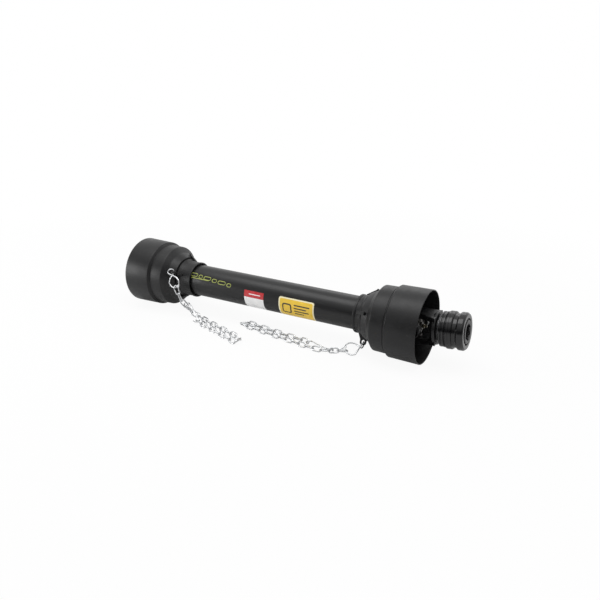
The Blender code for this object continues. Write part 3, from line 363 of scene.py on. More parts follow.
def combined(base, tool, operation):
    """The exact Boolean of two closed bmeshes. Both are freed."""
    cutter = linked("tool", tool)
    mesh = cutter.data
    settings = {"operation": operation, "solver": "EXACT", "object": cutter}
    bm = through_modifiers(base, ("BOOLEAN", settings))
    bpy.data.objects.remove(cutter)
    bpy.data.meshes.remove(mesh)
    bmesh.ops.remove_doubles(bm, verts=bm.verts, dist=0.001)
    return bm


def about(axis, degrees):
    return Matrix.Rotation(math.radians(degrees), 4, axis)


def half_frame(side):
    """The frame of one half: origin at its cross, +X out of its cone's mouth."""
    overhang = bpy.context.scene.drive_shaft_guard.overhang
    if side == "right":
        return Matrix.Translation((RIGHT_MOUTH.x - overhang, *AXIS))
    return Matrix.Translation((LEFT_MOUTH.x + overhang, *AXIS)) @ about("Z", 180)


def cross_frame(side):
    joint = bpy.context.scene.drive_shaft_joint
    pitch = joint.right_pitch if side == "right" else joint.left_pitch
    return half_frame(side) @ Matrix.Rotation(-pitch, 4, "Y")


def yoke_frame(side):
    joint = bpy.context.scene.drive_shaft_joint
    swing = joint.right_swing if side == "right" else -joint.left_swing
    return cross_frame(side) @ Matrix.Rotation(swing, 4, "Z")


def place(name, bm, where, body, slot, finish_name, nodes=()):
    """A finished piece: its place goes into its mesh, in metres, and it rides on its body."""
    bm.transform(where @ Matrix.Scale(mm, 4))
    piece = linked(name, bm)
    piece.data.materials.append(finishes()[finish_name])
    piece.data.shade_smooth()
    piece.data.set_sharp_from_angle(angle=math.radians(SHARP))
    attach(piece, body)
    if nodes:
        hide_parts(*nodes)


# Finishes

def node(tree, kind, **inputs):
    made = tree.nodes.new(kind)
    for name, value in inputs.items():
        made.inputs[name.replace("_", " ")].default_value = value
    return made


def noise(tree, vector, per_metre, detail=3.0, roughness=0.55):
    made = node(tree, "ShaderNodeTexNoise", Scale=per_metre, Detail=detail, Roughness=roughness)
    tree.links.new(vector, made.inputs["Vector"])
    return made.outputs["Fac"]


def spread(tree, value, low, high, new_low, new_high):
    made = node(tree, "ShaderNodeMapRange", From_Min=low, From_Max=high, To_Min=new_low, To_Max=new_high)
    tree.links.new(value, made.inputs["Value"])
    return made.outputs["Result"]


def feed(tree, socket, value):
    """Links a socket to another one, or sets its value."""
    if isinstance(value, bpy.types.NodeSocket):
        tree.links.new(value, socket)
    else:
        socket.default_value = value


def calculated(tree, operation, first, second):
    made = tree.nodes.new("ShaderNodeMath")
    made.operation = operation
    feed(tree, made.inputs[0], first)
    feed(tree, made.inputs[1], second)
    return made.outputs[0]


def mixed(tree, share, first, second, kind="RGBA"):
    made = tree.nodes.new("ShaderNodeMix")
    made.data_type = kind
    for name, value in (("Factor", share), ("A", first), ("B", second)):
        feed(tree, made.inputs[name], value)
    return made.outputs["Result"]


def shade(colour, by):
    return (*[min(1.0, channel * by) for channel in colour], 1.0)


def finish(name, colour, roughness, metallic=0.0, specular=0.5, cloud=30.0, contrast=0.2, grain=1400.0,
           bump=0.15, gloss_spread=0.07, stretch=(1, 1, 1), wear=None, wear_share=0.0, dust=0.0):
    """A procedural finish: clouded colour, uneven gloss, fine grain, worn edges and a little dust."""
    material = bpy.data.materials.new(name)
    material.use_nodes = True
    material.diffuse_color = (*colour, 1.0)
    tree = material.node_tree
    shader = tree.nodes["Principled BSDF"]
    shader.inputs["Metallic"].default_value = metallic
    shader.inputs["Specular IOR Level"].default_value = specular
    where = tree.nodes.new("ShaderNodeTexCoord")
    mapping = node(tree, "ShaderNodeMapping", Scale=stretch)
    tree.links.new(where.outputs["Object"], mapping.inputs["Vector"])
    point = mapping.outputs["Vector"]

    clouds = noise(tree, point, cloud, 4.0)
    share = spread(tree, clouds, 0.3, 0.7, 0.0, 1.0)
    base = mixed(tree, share, shade(colour, 1 - contrast), shade(colour, 1 + contrast))
    gloss = noise(tree, point, cloud * 3.3, 5.0)
    rough = spread(tree, gloss, 0.25, 0.75, roughness - gloss_spread, roughness + gloss_spread)
    if dust:
        specks = spread(tree, noise(tree, point, grain * 0.28, 6.0, 0.7), 0.58, 0.72, 0.0, dust)
        base = mixed(tree, specks, base, (0.16, 0.155, 0.15, 1.0))
    if wear is not None:
        geometry = tree.nodes.new("ShaderNodeNewGeometry")
        edge = spread(tree, geometry.outputs["Pointiness"], 0.52, 0.6, 0.0, 1.0)
        patch = spread(tree, noise(tree, point, 260.0, 6.0, 0.7), 0.46, 0.62, 0.0, wear_share)
        base = mixed(tree, calculated(tree, "MULTIPLY", edge, patch), base, (*wear, 1.0))
    tree.links.new(base, shader.inputs["Base Color"])
    tree.links.new(rough, shader.inputs["Roughness"])
    relief = node(tree, "ShaderNodeBump", Strength=bump, Distance=0.0003)
    tree.links.new(noise(tree, point, grain, 2.0), relief.inputs["Height"])
    tree.links.new(relief.outputs["Normal"], shader.inputs["Normal"])
    return material


def finishes():
    """Every finish of the shaft by name, made once."""
    kept = {made.name[6:]: made for made in bpy.data.materials if made.name.startswith("shaft_")}
    if kept:
        return kept
    c = bpy.context.scene.drive_shaft_colours
    steel_wear = (0.35, 0.35, 0.36)
    film = dict(cloud=40.0, grain=1600.0, bump=0.05)
    rows = {
        "guard": dict(colour=c.guard, roughness=0.40, specular=0.34, cloud=22.0, contrast=0.25, grain=1100.0,
                      bump=0.12, gloss_spread=0.06, wear=(0.09, 0.09, 0.09), wear_share=0.5, dust=0.12),
        "tube": dict(colour=c.guard, roughness=0.33, specular=0.36, cloud=18.0, contrast=0.2, grain=900.0,
                     bump=0.05, gloss_spread=0.06, stretch=(0.12, 1, 1), dust=0.1),
        "collar": dict(colour=c.collar, roughness=0.42, specular=0.34, cloud=40.0, contrast=0.25, grain=1800.0,
                       bump=0.12, wear=(0.1, 0.1, 0.1), wear_share=0.6, dust=0.15),
        "paint": dict(colour=c.paint, roughness=0.17, specular=0.5, cloud=60.0, contrast=0.25, grain=700.0,
                      bump=0.1, gloss_spread=0.05, wear=steel_wear, wear_share=0.55),
        "forged": dict(colour=c.paint, roughness=0.36, specular=0.42, cloud=60.0, contrast=0.3, grain=420.0,
                       bump=0.5, gloss_spread=0.1, wear=steel_wear, wear_share=0.4),
        "zinc": dict(colour=c.zinc, roughness=0.3, metallic=1.0, cloud=240.0, contrast=0.14, grain=2600.0,
                     bump=0.15, gloss_spread=0.1),
        "steel": dict(colour=c.steel, roughness=0.26, metallic=1.0, cloud=120.0, contrast=0.1, grain=2400.0,
                      bump=0.1, gloss_spread=0.08),
        # This finish is partly a grease film and partly painted shade: its dark colour stands in for the shade inside
        # the cone's mouth.
        "greased": dict(colour=c.grease, roughness=0.34, metallic=1.0, cloud=90.0, contrast=0.35, grain=2000.0,
                        bump=0.12, gloss_spread=0.1),
        "spring": dict(colour=c.spring, roughness=0.36, metallic=1.0, cloud=160.0, contrast=0.2, grain=2000.0,
                       bump=0.12),
        "drawn": dict(colour=c.tube, roughness=0.38, metallic=1.0, cloud=60.0, contrast=0.18, grain=1500.0, bump=0.2,
                      stretch=(0.04, 1, 1)),
        "nylon": dict(colour=c.nylon, roughness=0.46, cloud=60.0, contrast=0.06, grain=1500.0, bump=0.08, dust=0.1),
        "brass": dict(colour=c.brass, roughness=0.3, metallic=1.0, cloud=300.0, contrast=0.15, grain=2400.0,
                      bump=0.08),
        "yellow": dict(film, colour=c.yellow, roughness=0.3, contrast=0.06),
        "cream": dict(film, colour=c.cream, roughness=0.32, contrast=0.05),
        "red": dict(film, colour=c.red, roughness=0.3, contrast=0.08),
        "white": dict(film, colour=c.white, roughness=0.34, contrast=0.04),
        "print": dict(film, colour=c.print, roughness=0.4, cloud=300.0, contrast=0.12),
        "ink": dict(film, colour=c.ink, roughness=0.4, cloud=300.0, contrast=0.2),
    }
    return {name: finish(f"shaft_{name}", **row) for name, row in rows.items()}


# Guard

def at(depth):
    """The half frame's x in millimetres for a depth inward from the mouth."""
    return bpy.context.scene.drive_shaft_guard.overhang / mm - depth


class DRIVESHAFT_OT_guard_cones(bpy.types.Operator):
    """Blow-moulded cones: rolled lip, mouth stage, sloped step with a crease, second stage, taper and neck"""
    bl_idname = "drive_shaft.guard_cones"
    bl_label = "Guard Cones"

    crease = 0.7  # Depth of the crease at the step's foot
    crease_width = 1.6
    crease_end = 2.3

    def execute(self, context):
        g = in_mm(context.scene.drive_shaft_guard)
        stage = g.shoulder - g.drop
        foot = g.shoulder_depth + g.step
        bend = g.taper_depth + BEND_RUN
        bend_radius = BEND_SHARE * g.taper + (1 - BEND_SHARE) * g.neck
        rear = g.neck_depth + g.lip
        over_collar = g.collar_front + 0.2
        outer = [
            (at(0), g.mouth, 0.9),
            (at(g.shoulder_depth), g.shoulder, 1.2),
            (at(foot), stage - self.crease, 0.4),
            (at(foot + self.crease_width), stage - self.crease, 0.4),
            (at(foot + self.crease_end), stage, 0.5),
            (at(g.taper_depth), g.taper, 2.5),
            (at(bend), bend_radius, 10),
            (at(rear), g.neck, 1.2),
            (at(rear), over_collar, 0.4),
            (at(g.neck_depth), over_collar),
            (at(g.neck_depth), g.neck_hole, 0.6),
        ]
        inner = [
            (at(g.neck_depth - g.wall), g.neck_hole, 0.6),
            (at(g.neck_depth - g.wall), g.neck + 0.5 * g.wall, 2),
            (at(bend - 0.7 * g.wall), bend_radius - 0.7 * g.wall, 8),
            (at(g.taper_depth - 0.6 * g.wall), g.taper - g.wall, 4),
            (at(foot + 0.5 * g.wall), stage - g.wall - 0.5, 1),
            (at(g.shoulder_depth - 0.4 * g.wall), g.shoulder - g.wall, 1.5),
            (at(0), g.mouth - g.wall, 0.9),
        ]
        for side in ("right", "left"):
            cone = lathe(rounded(outer + inner), 160)
            place(f"{side}_cone_shell", cone, half_frame(side), f"guard_{side}", "guard_plastic", "guard",
                  [f"{side}_guard_cone"])
        return {"FINISHED"}


def tab_side(g, eye):
    """Side view of a clip tab, (x, radius), with the nub that snaps over the cone's lip, or with the chain eye."""
    lip_end = g.neck_depth + g.lip
    slope = BEND_SHARE * (g.taper - g.neck) / (lip_end - g.taper_depth - BEND_RUN)
    reach = g.neck_depth - 3
    under_nub = g.neck + (lip_end - reach) * slope + 1.2
    front = g.neck_depth + FIT
    rear = front + g.collar_length - 8
    root = g.collar_front - 2
    outline = [
        (at(rear), g.collar_rear - 1.5),
        (at(rear), g.collar_rear + 1.8, 1.2),
        (at(front + 8), g.collar_front + 5, 5),
        (at(g.neck_depth + 1), g.nub - 3, 1.2),
        (at(reach + 1.5), g.nub, 0.9),
        (at(reach - 0.5), g.nub - 1.5, 0.6),
        (at(reach), under_nub, 0.4),
        (at(lip_end + 0.4), g.neck + FIT, 0.6),
        (at(lip_end + 0.4), root),
    ]
    if eye:
        rim = g.eye_hole + g.eye_rim
        outline[2:] = [
            (at(g.eye_depth + rim), g.eye_radius - 0.6 * rim, 3),
            (at(g.eye_depth + 0.9 * rim), g.eye_radius + rim, 5.4),
            (at(g.eye_depth - 0.9 * rim), g.eye_radius + rim, 5.4),
            (at(front), g.eye_radius - 0.6 * rim),
            (at(front), root),
        ]
    return rounded(outline)


class DRIVESHAFT_OT_guard_collars(bpy.types.Operator):
    """Moulded collars that lock cone, bearing ring and guard tube together, with clip tabs and a chain eye"""
    bl_idname = "drive_shaft.guard_collars"
    bl_label = "Guard Collars"

    tab_count = 4
    tab_width = 7.0

    def collar(self, g, tube, length, recess, eye_angle):
        front = g.neck_depth + FIT
        back = g.neck_depth + length
        bore = tube + FIT
        outline = [
            (at(front), g.collar_front, 0.8),
            (at(front + 3), g.collar_front, 0.4),
            (at(front + 3.6), g.collar_front - 0.9, 0.3),
            (at(front + 4.6), g.collar_front - 0.9, 0.3),
            (at(front + 5.2), g.collar_front, 0.4),
            (at(front + 9), g.collar_front, 1.5),
            (at(front + 13.5), g.collar_rear + 1.2, 3),
            (at(back - 5.4), g.collar_rear, 0.5),
            (at(back - 4.6), g.collar_rear + 1.2, 0.5),
            (at(back), g.collar_rear + 1.2, 0.7),
        ]
        if recess:
            floor = at(back - recess)
            outline += [(at(back), g.tube + 2, 0.5), (floor, g.tube + 2), (floor, bore)]
        else:
            outline += [(at(back), bore, 0.4)]
        seat = at(g.tube_seat - FIT)
        outline += [(seat, bore), (seat, g.ring_room), (at(front), g.ring_room, 0.4)]
        body = lathe(rounded(outline, 4), 128)
        for k in range(self.tab_count):
            eye = k == 0
            width = self.tab_width * (0.8 if eye else 1)
            tab = slab(tab_side(g, eye), -width / 2, width / 2, about("X", 90), soften=0.7)
            tab.transform(Matrix.Rotation(eye_angle + math.tau * k / self.tab_count, 4, "X"))
            body = combined(body, tab, "UNION")
        ease = 0.8
        wide = g.eye_hole + ease
        flank = self.tab_width * 0.4
        half = [(-9, 0), (-9, wide), (-flank - 0.1, wide), (-flank + ease, g.eye_hole)]
        hole = lathe(half + [(-x, radius) for x, radius in reversed(half)], 40, closed=False)
        hole.transform(about("Z", 90))
        hole.transform(Matrix.Translation((at(g.eye_depth), 0, g.eye_radius)))
        hole.transform(Matrix.Rotation(eye_angle, 4, "X"))
        return combined(body, hole, "DIFFERENCE")

    def execute(self, context):
        g = in_mm(context.scene.drive_shaft_guard)
        right = self.collar(g, g.tube, g.collar_length, 0, g.right_eye)
        left = self.collar(g, g.inner_tube, g.collar_length + g.recess, g.recess, -g.left_eye)
        for side, collar in (("right", right), ("left", left)):
            place(f"{side}_collar_moulding", collar, half_frame(side), f"guard_{side}", "collar_plastic", "collar",
                  [f"{side}_guard_collar"])
        return {"FINISHED"}


class DRIVESHAFT_OT_guard_tubes(bpy.types.Operator):
    """Smooth outer guard tube and the inner one that slides in it"""
    bl_idname = "drive_shaft.guard_tubes"
    bl_label = "Guard Tubes"

    def execute(self, context):
        g = in_mm(context.scene.drive_shaft_guard)
        tubes = (("outer", "right", g.tube, g.tube_wall), ("inner", "left", g.inner_tube, g.inner_wall))
        for name, side, radius, wall in tubes:
            low, high = (corner.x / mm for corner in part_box(f"{name}_guard_tube"))
            bore = radius - wall
            bm = lathe(rounded([(low, bore, 0.5), (low, radius, 0.5), (high, radius, 0.5), (high, bore, 0.5)], 4), 144)
            for k in range(1, 12):
                cut_across(bm, (low + (high - low) * k / 12, 0, 0), (1, 0, 0))
            place(f"{name}_tube_skin", bm, Matrix.Translation((0, *AXIS)), f"guard_{side}", "guard_plastic", "tube",
                  [f"{name}_guard_tube"])
        return {"FINISHED"}


class DRIVESHAFT_OT_colour_fields(bpy.types.Operator):
    """Plain coloured films and a printed row of open frames on the outer guard tube"""
    bl_idname = "drive_shaft.colour_fields"
    bl_label = "Colour Fields"

    film = 0.12  # Thickness of a film, in millimetres like the sizes below
    lift = 0.02  # Gap under the lowest film
    print_line = 1.5  # How wide the printed frames' ends are
    print_lean = -0.25

    def field(self, name, colour, x, angles, level, corner, slant=0.0):
        """A film on the tube between two x and two angles, which are measured from the top towards the front."""
        radius = bpy.context.scene.drive_shaft_guard.tube / mm
        across = [math.radians(value) * radius for value in angles]
        shift = slant * (across[1] - across[0])
        flat = [(x[0], across[0], corner), (x[0] + shift, across[1], corner),
                (x[1] + shift, across[1], corner), (x[1], across[0], corner)]
        bm = slab(rounded(flat, 5), 0.0, self.film)
        step = math.radians(3) * radius
        cut = math.ceil(across[0] / step) * step
        while cut < across[1]:
            cut_across(bm, (0, cut, 0), (0, 1, 0))
            cut += step
        for vert in bm.verts:
            along, arc, height = vert.co
            reach = radius + self.lift + level * self.film + height
            vert.co = (along, -reach * math.sin(arc / radius), reach * math.cos(arc / radius))
        bmesh.ops.recalc_face_normals(bm, faces=bm.faces)
        place(name, bm, Matrix.Translation(SHAFT), "guard_right", "guard_plastic", colour)

    def execute(self, context):
        self.field("film_border", "cream", (37, 121), (64, 156), 0, 4)
        self.field("film_yellow", "yellow", (40, 118), (69, 151), 1, 3)
        self.field("film_red", "red", (-50, -1), (67, 91), 0, 0.8)
        self.field("film_white", "white", (-50, -1), (91.4, 150), 0, 0.8)
        self.field("bar_frame", "ink", (46, 68), (84, 122), 2, 5)
        self.field("bar_frame_fill", "yellow", (49, 65), (89, 117), 3, 3)
        for k, (start, end) in enumerate(((74, 111), (74, 103), (74, 109), (74, 97))):
            self.field(f"bar_{k + 1}", "ink", (start, end), (84 + 11 * k, 88.5 + 11 * k), 2, 0.8)
        self.field("bar_red", "white", (-38, -9), (77.5, 80.5), 1, 0.7)
        first, length, gap = -197.0, 111.0, 3.2
        start = first
        for k, width in enumerate((19, 11, 20, 13, 21, 12)):
            middle = 49.0 + 15.0 * (start - first) / length
            across = (middle - 5, middle + 9)
            inside = (middle - 2.6, middle + 6.6)
            end = start + width
            opening = (start + self.print_line, end - self.print_line)
            self.field(f"print_{k + 1}", "print", (start, end), across, 0, 4.0, self.print_lean)
            self.field(f"print_{k + 1}_open", "tube", opening, inside, 1, 2.6, self.print_lean)
            start += width + gap
        self.field("print_line", "print", (-194, -146), (62, 64.5), 0, 0.5)
        return {"FINISHED"}


# Chains

# How each chain lies: x and y in link pitches from its eye, and the share of its drop to the floor
RIGHT_ROUTE = [(-2.583, -1.472, 1), (-3.444, -1.944, 1), (-4.444, -2.250, 1), (-6.472, -2.089, 1),
               (-8.667, -1.722, 1), (-11.694, -1.278, 1), (-14.556, -0.806, 1), (-16.222, -0.472, 1),
               (-16.889, -0.056, 1), (-16.389, 0.278, 1), (-15.278, 0.139, 1), (-12.478, -0.306, 1),
               (-9.500, -0.722, 1), (-8.056, -0.861, 1), (-7.056, -0.944, 1), (-6.000, -1.167, 1)]
RIGHT_CLIP = (Vector((0, -0.42, -0.91)), Vector((0, 0.91, -0.42)),
              Vector((-0.78, -0.5, -0.36)), Vector((-0.66, 0.58, 0.45)))
LEFT_ROUTE = [(1.194, -0.278, 0.5), (1.639, -0.111, 0.64), (2.139, 0.056, 0.8), (2.528, 0.222, 0.93),
              (3.111, 0.361, 1), (4.556, -0.256, 1), (6.256, -0.928, 1), (8.000, -1.522, 1),
              (9.889, -2.167, 1), (11.167, -2.639, 1), (12.056, -3.278, 1), (11.722, -3.944, 1),
              (10.722, -3.611, 1), (8.444, -2.794, 1), (6.444, -2.039, 1), (4.572, -1.322, 1),
              (3.444, -0.833, 1)]
LEFT_CLIP = (Vector((-1, -0.72, 0.34)), Vector((0, 0.36, 0.93)),
             Vector((0.436, -0.2, -0.88)), Vector((0.9, 0, 0.436)))


def smooth_line(points, steps):
    """A Catmull-Rom curve through the points, with that many steps between two of them."""
    ends = [points[0] * 2 - points[1], *points, points[-1] * 2 - points[-2]]
    line = []
    for before, start, end, after in zip(ends, ends[1:], ends[2:], ends[3:]):
        for k in range(steps):
            t = k / steps
            line.append(0.5 * (2 * start + (end - before) * t + (2 * before - 5 * start + 4 * end - after) * t * t
                               + (3 * start - before - 3 * end + after) * t ** 3))
    line.append(points[-1])
    return line


def hang_points(line, pitch):
    """Points on a dense line, each one pitch from the last: where one link hangs in the next."""
    found = [line[0]]
    for before, after in zip(line, line[1:]):
        while (after - found[-1]).length >= pitch > (before - found[-1]).length:
            run = after - before
            lead = before - found[-1]
            middle = lead.dot(run)
            reach = math.sqrt(middle ** 2 - run.length_squared * (lead.length_squared - pitch ** 2))
            found.append(before + run * (reach - middle) / run.length_squared)
    return found


def link(c):
    """One welded link along X: two bends, two straights and the weld's bead on one of them."""
    bend = (c.width - c.wire) / 2
    straight = (c.pitch + c.wire + 0.12) / 2 - bend
    path = []
    for end in (1, -1):
        for k in range(9):
            turn = math.radians(-90 + 22.5 * k)
            path.append(Vector((end * (straight + bend * math.cos(turn)), end * bend * math.sin(turn), 0)))
        path += [Vector((end * x, end * bend, 0)) for x in (1.6, 0.8, 0, -0.8, -1.6)]
    bm = swept(path, c.wire / 2, c.sides, cyclic=True)
    for vert in bm.verts:
        if vert.co.y > 0 and abs(vert.co.x) < 1.2:
            middle = Vector((vert.co.x, bend, 0))
            vert.co = middle + (vert.co - middle) * (1.16 if abs(vert.co.x) < 0.4 else 1.09)
    return bm


def link_frames(places, roll):
    frames = []
    for k, (start, end) in enumerate(zip(places, places[1:])):
        ahead = (end - start).normalized()
        sideways = ahead.cross(Vector((0, 0, 1))).normalized()
        lie = Matrix((ahead, sideways, ahead.cross(sideways))).transposed().to_4x4()
        frames.append(Matrix.Translation((start + end) / 2) @ lie @ about("X", roll + 90 * (k % 2)))
    return frames


def hook_coil(c, centre, out, up, start, end, rise):
    """Points round a hook's small coil, rising along its axis."""
    axis = out.cross(up)
    points = []
    for k in range(7):
        share = k / 6
        turn = math.radians(start + (end - start) * share)
        points.append(centre + (out * math.cos(turn) + up * math.sin(turn)) * c.coil + axis * rise * (share - 0.5))
    return points


def clip_hook(c, coil_side, through, along, across):
    """The safety-pin clip in the collar's eye: its line, and where the first link hangs."""
    crossing = 1.7  # Half the gap between the two arms where they cross
    along = along.normalized()
    across = (across - along * across.dot(along)).normalized()
    normal = along.cross(across)
    through = through.normalized()
    coil_side = (coil_side - through * coil_side.dot(through)).normalized()
    centre = coil_side * c.coil
    coil = hook_coil(c, centre, -coil_side, through, -40, 220, 2 * crossing)
    near_arm = [(0.9, 0.62), (1.0, 0.25), (0.98, -0.3), (0.84, -0.78), (0.6, -1.0), (0.38, -0.66)]
    far_arm = [(0.38, 0.66), (0.62, 1.05), (0.88, 1.0), (1.08, 0.72), (1.3, 0.6)]

    def arm(shares, lift):
        return [centre + along * u * c.clip + across * v * c.clip_half + normal * lift for u, v in shares]

    return smooth_line(arm(near_arm, -crossing) + coil + arm(far_arm, crossing), 8), \
        centre + along * c.clip - normal * crossing


def end_hook(c, clipped, last, turn):
    """The chain's end hook: a coil that holds the last link and an open end clipped through an earlier one."""
    ahead = last.col[0].xyz
    sideways = Vector((0, 0, turn)).cross(ahead)
    seat = 5.6  # From the last link's middle to the coil's wire
    bend_reach = 9
    centre = last.translation + ahead * (seat + c.coil)
    coil = hook_coil(c, centre, ahead, sideways, 75, 290, 0.0)
    along, over, normal = (clipped.col[k].xyz for k in range(3))
    if over.z < 0:
        over = -over
    if normal.dot(centre - clipped.translation) > 0:
        normal = -normal
    steps = [(1.4, -1.0, 0.6), (0.5, -0.92, 0.55), (0.18, -0.36, 0.08), (0.16, 0.36, 0.0),
             (0.55, 0.92, 0.0), (1.35, 1.1, -0.05), (1.9, 1.25, 0.1)]
    bend = [clipped.translation + (along * a + normal * n + over * o) * bend_reach for a, n, o in steps]
    return smooth_line(coil + bend, 8)


class DRIVESHAFT_OT_chains(bpy.types.Operator):
    """Welded safety chains, doubled back on the floor, with a wire clip in the eye and a hook at the end"""
    bl_idname = "drive_shaft.chains"
    bl_label = "Chains and Hooks"

    def execute(self, context):
        g = in_mm(context.scene.drive_shaft_guard)
        c = in_mm(context.scene.drive_shaft_chain)
        roll = 45
        floor_gap = 0.45
        lie = (c.width - c.wire) / 2 * math.sin(math.radians(roll)) + c.wire / 2 + floor_gap
        rows = (("right", 1, g.right_eye, RIGHT_CLIP, RIGHT_ROUTE, 1, -1),
                ("left", -1, g.left_eye, LEFT_CLIP, LEFT_ROUTE, 2, 1))
        for side, way, turn, clip, route, clipped, twist in rows:
            cross = half_frame(side).translation / mm
            reach = at(g.eye_depth)
            eye = cross + Vector((way * reach, -g.eye_radius * math.sin(turn), g.eye_radius * math.cos(turn)))
            line, seat = clip_hook(c, *clip)
            drop = lie - eye.z - seat.z
            path = [Vector((x * c.pitch, y * c.pitch, seat.z + share * drop)) for x, y, share in route]
            start = seat + (seat - path[0]).normalized() * 2.2
            places = hang_points(smooth_line([start, *path], 60), c.pitch)
            frames = link_frames(places, roll)
            where = Matrix.Translation(eye * mm)
            loop = link(c)
            wires = (("chain_links", "chain", merged([(loop, placed) for placed in frames])),
                     ("clip_wire", "hook", swept(line, c.hook_wire / 2, c.sides)),
                     ("end_hook_wire", "end_hook",
                      swept(end_hook(c, frames[clipped], frames[-1], twist), c.hook_wire / 2, c.sides)))
            for name, packed, bm in wires:
                place(f"{side}_{name}", bm, where, f"chain_{side}", "zinc_wire", "zinc", [f"{side}_{packed}"])
        return {"FINISHED"}


# Universal joints

BALLS = 3
BALL_PLACE = 90.0  # Where the lock balls stand along the yoke, in millimetres


def ball_turn(k):
    return about("X", 360 / BALLS * k)


def forged_fork(j, base_radius):
    """A yoke's fork as it leaves the forging die: two ears on the Y axis and a base towards +X, all edges soft."""
    base_end = j.base_end - 1
    side_line = [(-j.ear - 1, j.ear_outer), (0.45 * j.ear, j.ear_outer, 8),
                 (j.crotch - 6, base_radius - 2.5, 6), (base_end, j.tube_hub - 1)]
    crotch = [(j.crotch, j.ear_inner, 9), (-j.ear - 1, j.ear_inner)]
    outline = side_line + [(x, -y, *rest) for x, y, *rest in reversed(side_line)]
    outline += [(x, -y, *rest) for x, y, *rest in reversed(crotch)] + crotch
    plan = slab(rounded(outline, 8), -40, 40)
    ear = [(-j.ear * math.sin(math.radians(a)), j.ear * math.cos(math.radians(a))) for a in range(0, 181, 6)]
    flank = [(0.95 * j.ear, -j.ear), (j.crotch - 2, -j.ear - 5), (base_end + 1, -j.tube_hub + 2)]
    flank += [(x, -z) for x, z in reversed(flank)]
    profile = slab(ear + flank, -45, 45, about("X", 90))
    fork = combined(plan, profile, "INTERSECT")
    return through_modifiers(fork, ("REMESH", {"mode": "VOXEL", "voxel_size": 0.9, "use_smooth_shade": True}),
                             ("SMOOTH", {"factor": 0.5, "iterations": 7}))


def ear_bores(j):
    """Cutter for both ears' bearing bores along Y, with a snap-ring groove and a chamfer in each."""
    bore = j.cap + FIT
    low = j.cross_length / 2
    high = low + 2.1
    half = [(low, bore), (low, bore + 1), (high, bore + 1), (high, bore), (j.ear_outer - 0.9, bore),
            (j.ear_outer + 0.4, bore + 1.2), (j.ear_outer + 4, bore + 1.2), (j.ear_outer + 4, 0)]
    cutter = lathe([(-x, r) for x, r in reversed(half)] + half, 72, closed=False)
    cutter.transform(about("Z", 90))
    return cutter


def spline_bore(j, low, high):
    """Cutter for the bore: six spaces for the splines of the stub that it takes."""
    points = []
    count = 6
    step = 360 / count
    half_space = math.degrees(math.asin(j.spline_space / 2 / j.spline_major))
    half_mouth = math.degrees(math.asin(j.spline_space / 2 / j.spline_minor))
    for k in range(count):
        arcs = [(j.spline_major, half_space * (t / 3 - 1)) for t in range(7)]
        land = step - 2 * half_mouth
        arcs += [(j.spline_minor, half_mouth + land * t / 4) for t in range(5)]
        for radius, at_angle in arcs:
            turn = math.radians(k * step + at_angle)
            points.append((-radius * math.sin(turn), radius * math.cos(turn)))
    return slab(points, low, high, ACROSS)


class DRIVESHAFT_OT_splined_yokes(bpy.types.Operator):
    """Outer yokes: forged fork, machined base and hub, splined bore with a lead-in and three ball holes"""
    bl_idname = "drive_shaft.splined_yokes"
    bl_label = "Splined Yokes"

    def execute(self, context):
        j = in_mm(context.scene.drive_shaft_joint)
        for side in ("right", "left"):
            fork = forged_fork(j, j.base)
            fork.transform(about("X", 90))
            seat = 97.0  # Groove of the retaining ring
            groove = j.hub - 1.4
            hub = lathe(rounded([
                (j.crotch + 1, 0), (j.crotch + 1, j.base - 3), (j.crotch + 3.5, j.base, 2),
                (j.base_end, j.base, 1.4), (j.base_end, j.hub, 1.2), (seat, j.hub), (seat, groove),
                (seat + 2.2, groove), (seat + 2.2, j.hub), (j.face, j.hub, 1.2), (j.face, 0)], 5), 128, closed=False)
            yoke = combined(fork, hub, "UNION")
            bores = ear_bores(j)
            bores.transform(about("X", 90))
            yoke = combined(yoke, bores, "DIFFERENCE")
            yoke = combined(yoke, spline_bore(j, j.crotch - 12, j.face + 5), "DIFFERENCE")
            mouth = j.spline_major + 0.9
            lead = lathe([(j.face - 2.2, 0), (j.face - 2.2, j.spline_minor - 0.6), (j.face + 0.8, mouth),
                          (j.face + 3, mouth), (j.face + 3, 0)], 96, closed=False)
            yoke = combined(yoke, lead, "DIFFERENCE")
            bore = j.ball + FIT
            for k in range(BALLS):
                hole = lathe([(10, 0), (10, bore), (j.hub + 4, bore), (j.hub + 4, 0)], 32, closed=False)
                hole.transform(ball_turn(k) @ Matrix.Translation((BALL_PLACE, 0, 0)) @ about("Y", -90))
                yoke = combined(yoke, hole, "DIFFERENCE")
            place(f"{side}_splined_yoke_forging", yoke, yoke_frame(side), f"yoke_{side}", "black_paint", "forged",
                  [f"{side}_splined_yoke"])
        return {"FINISHED"}


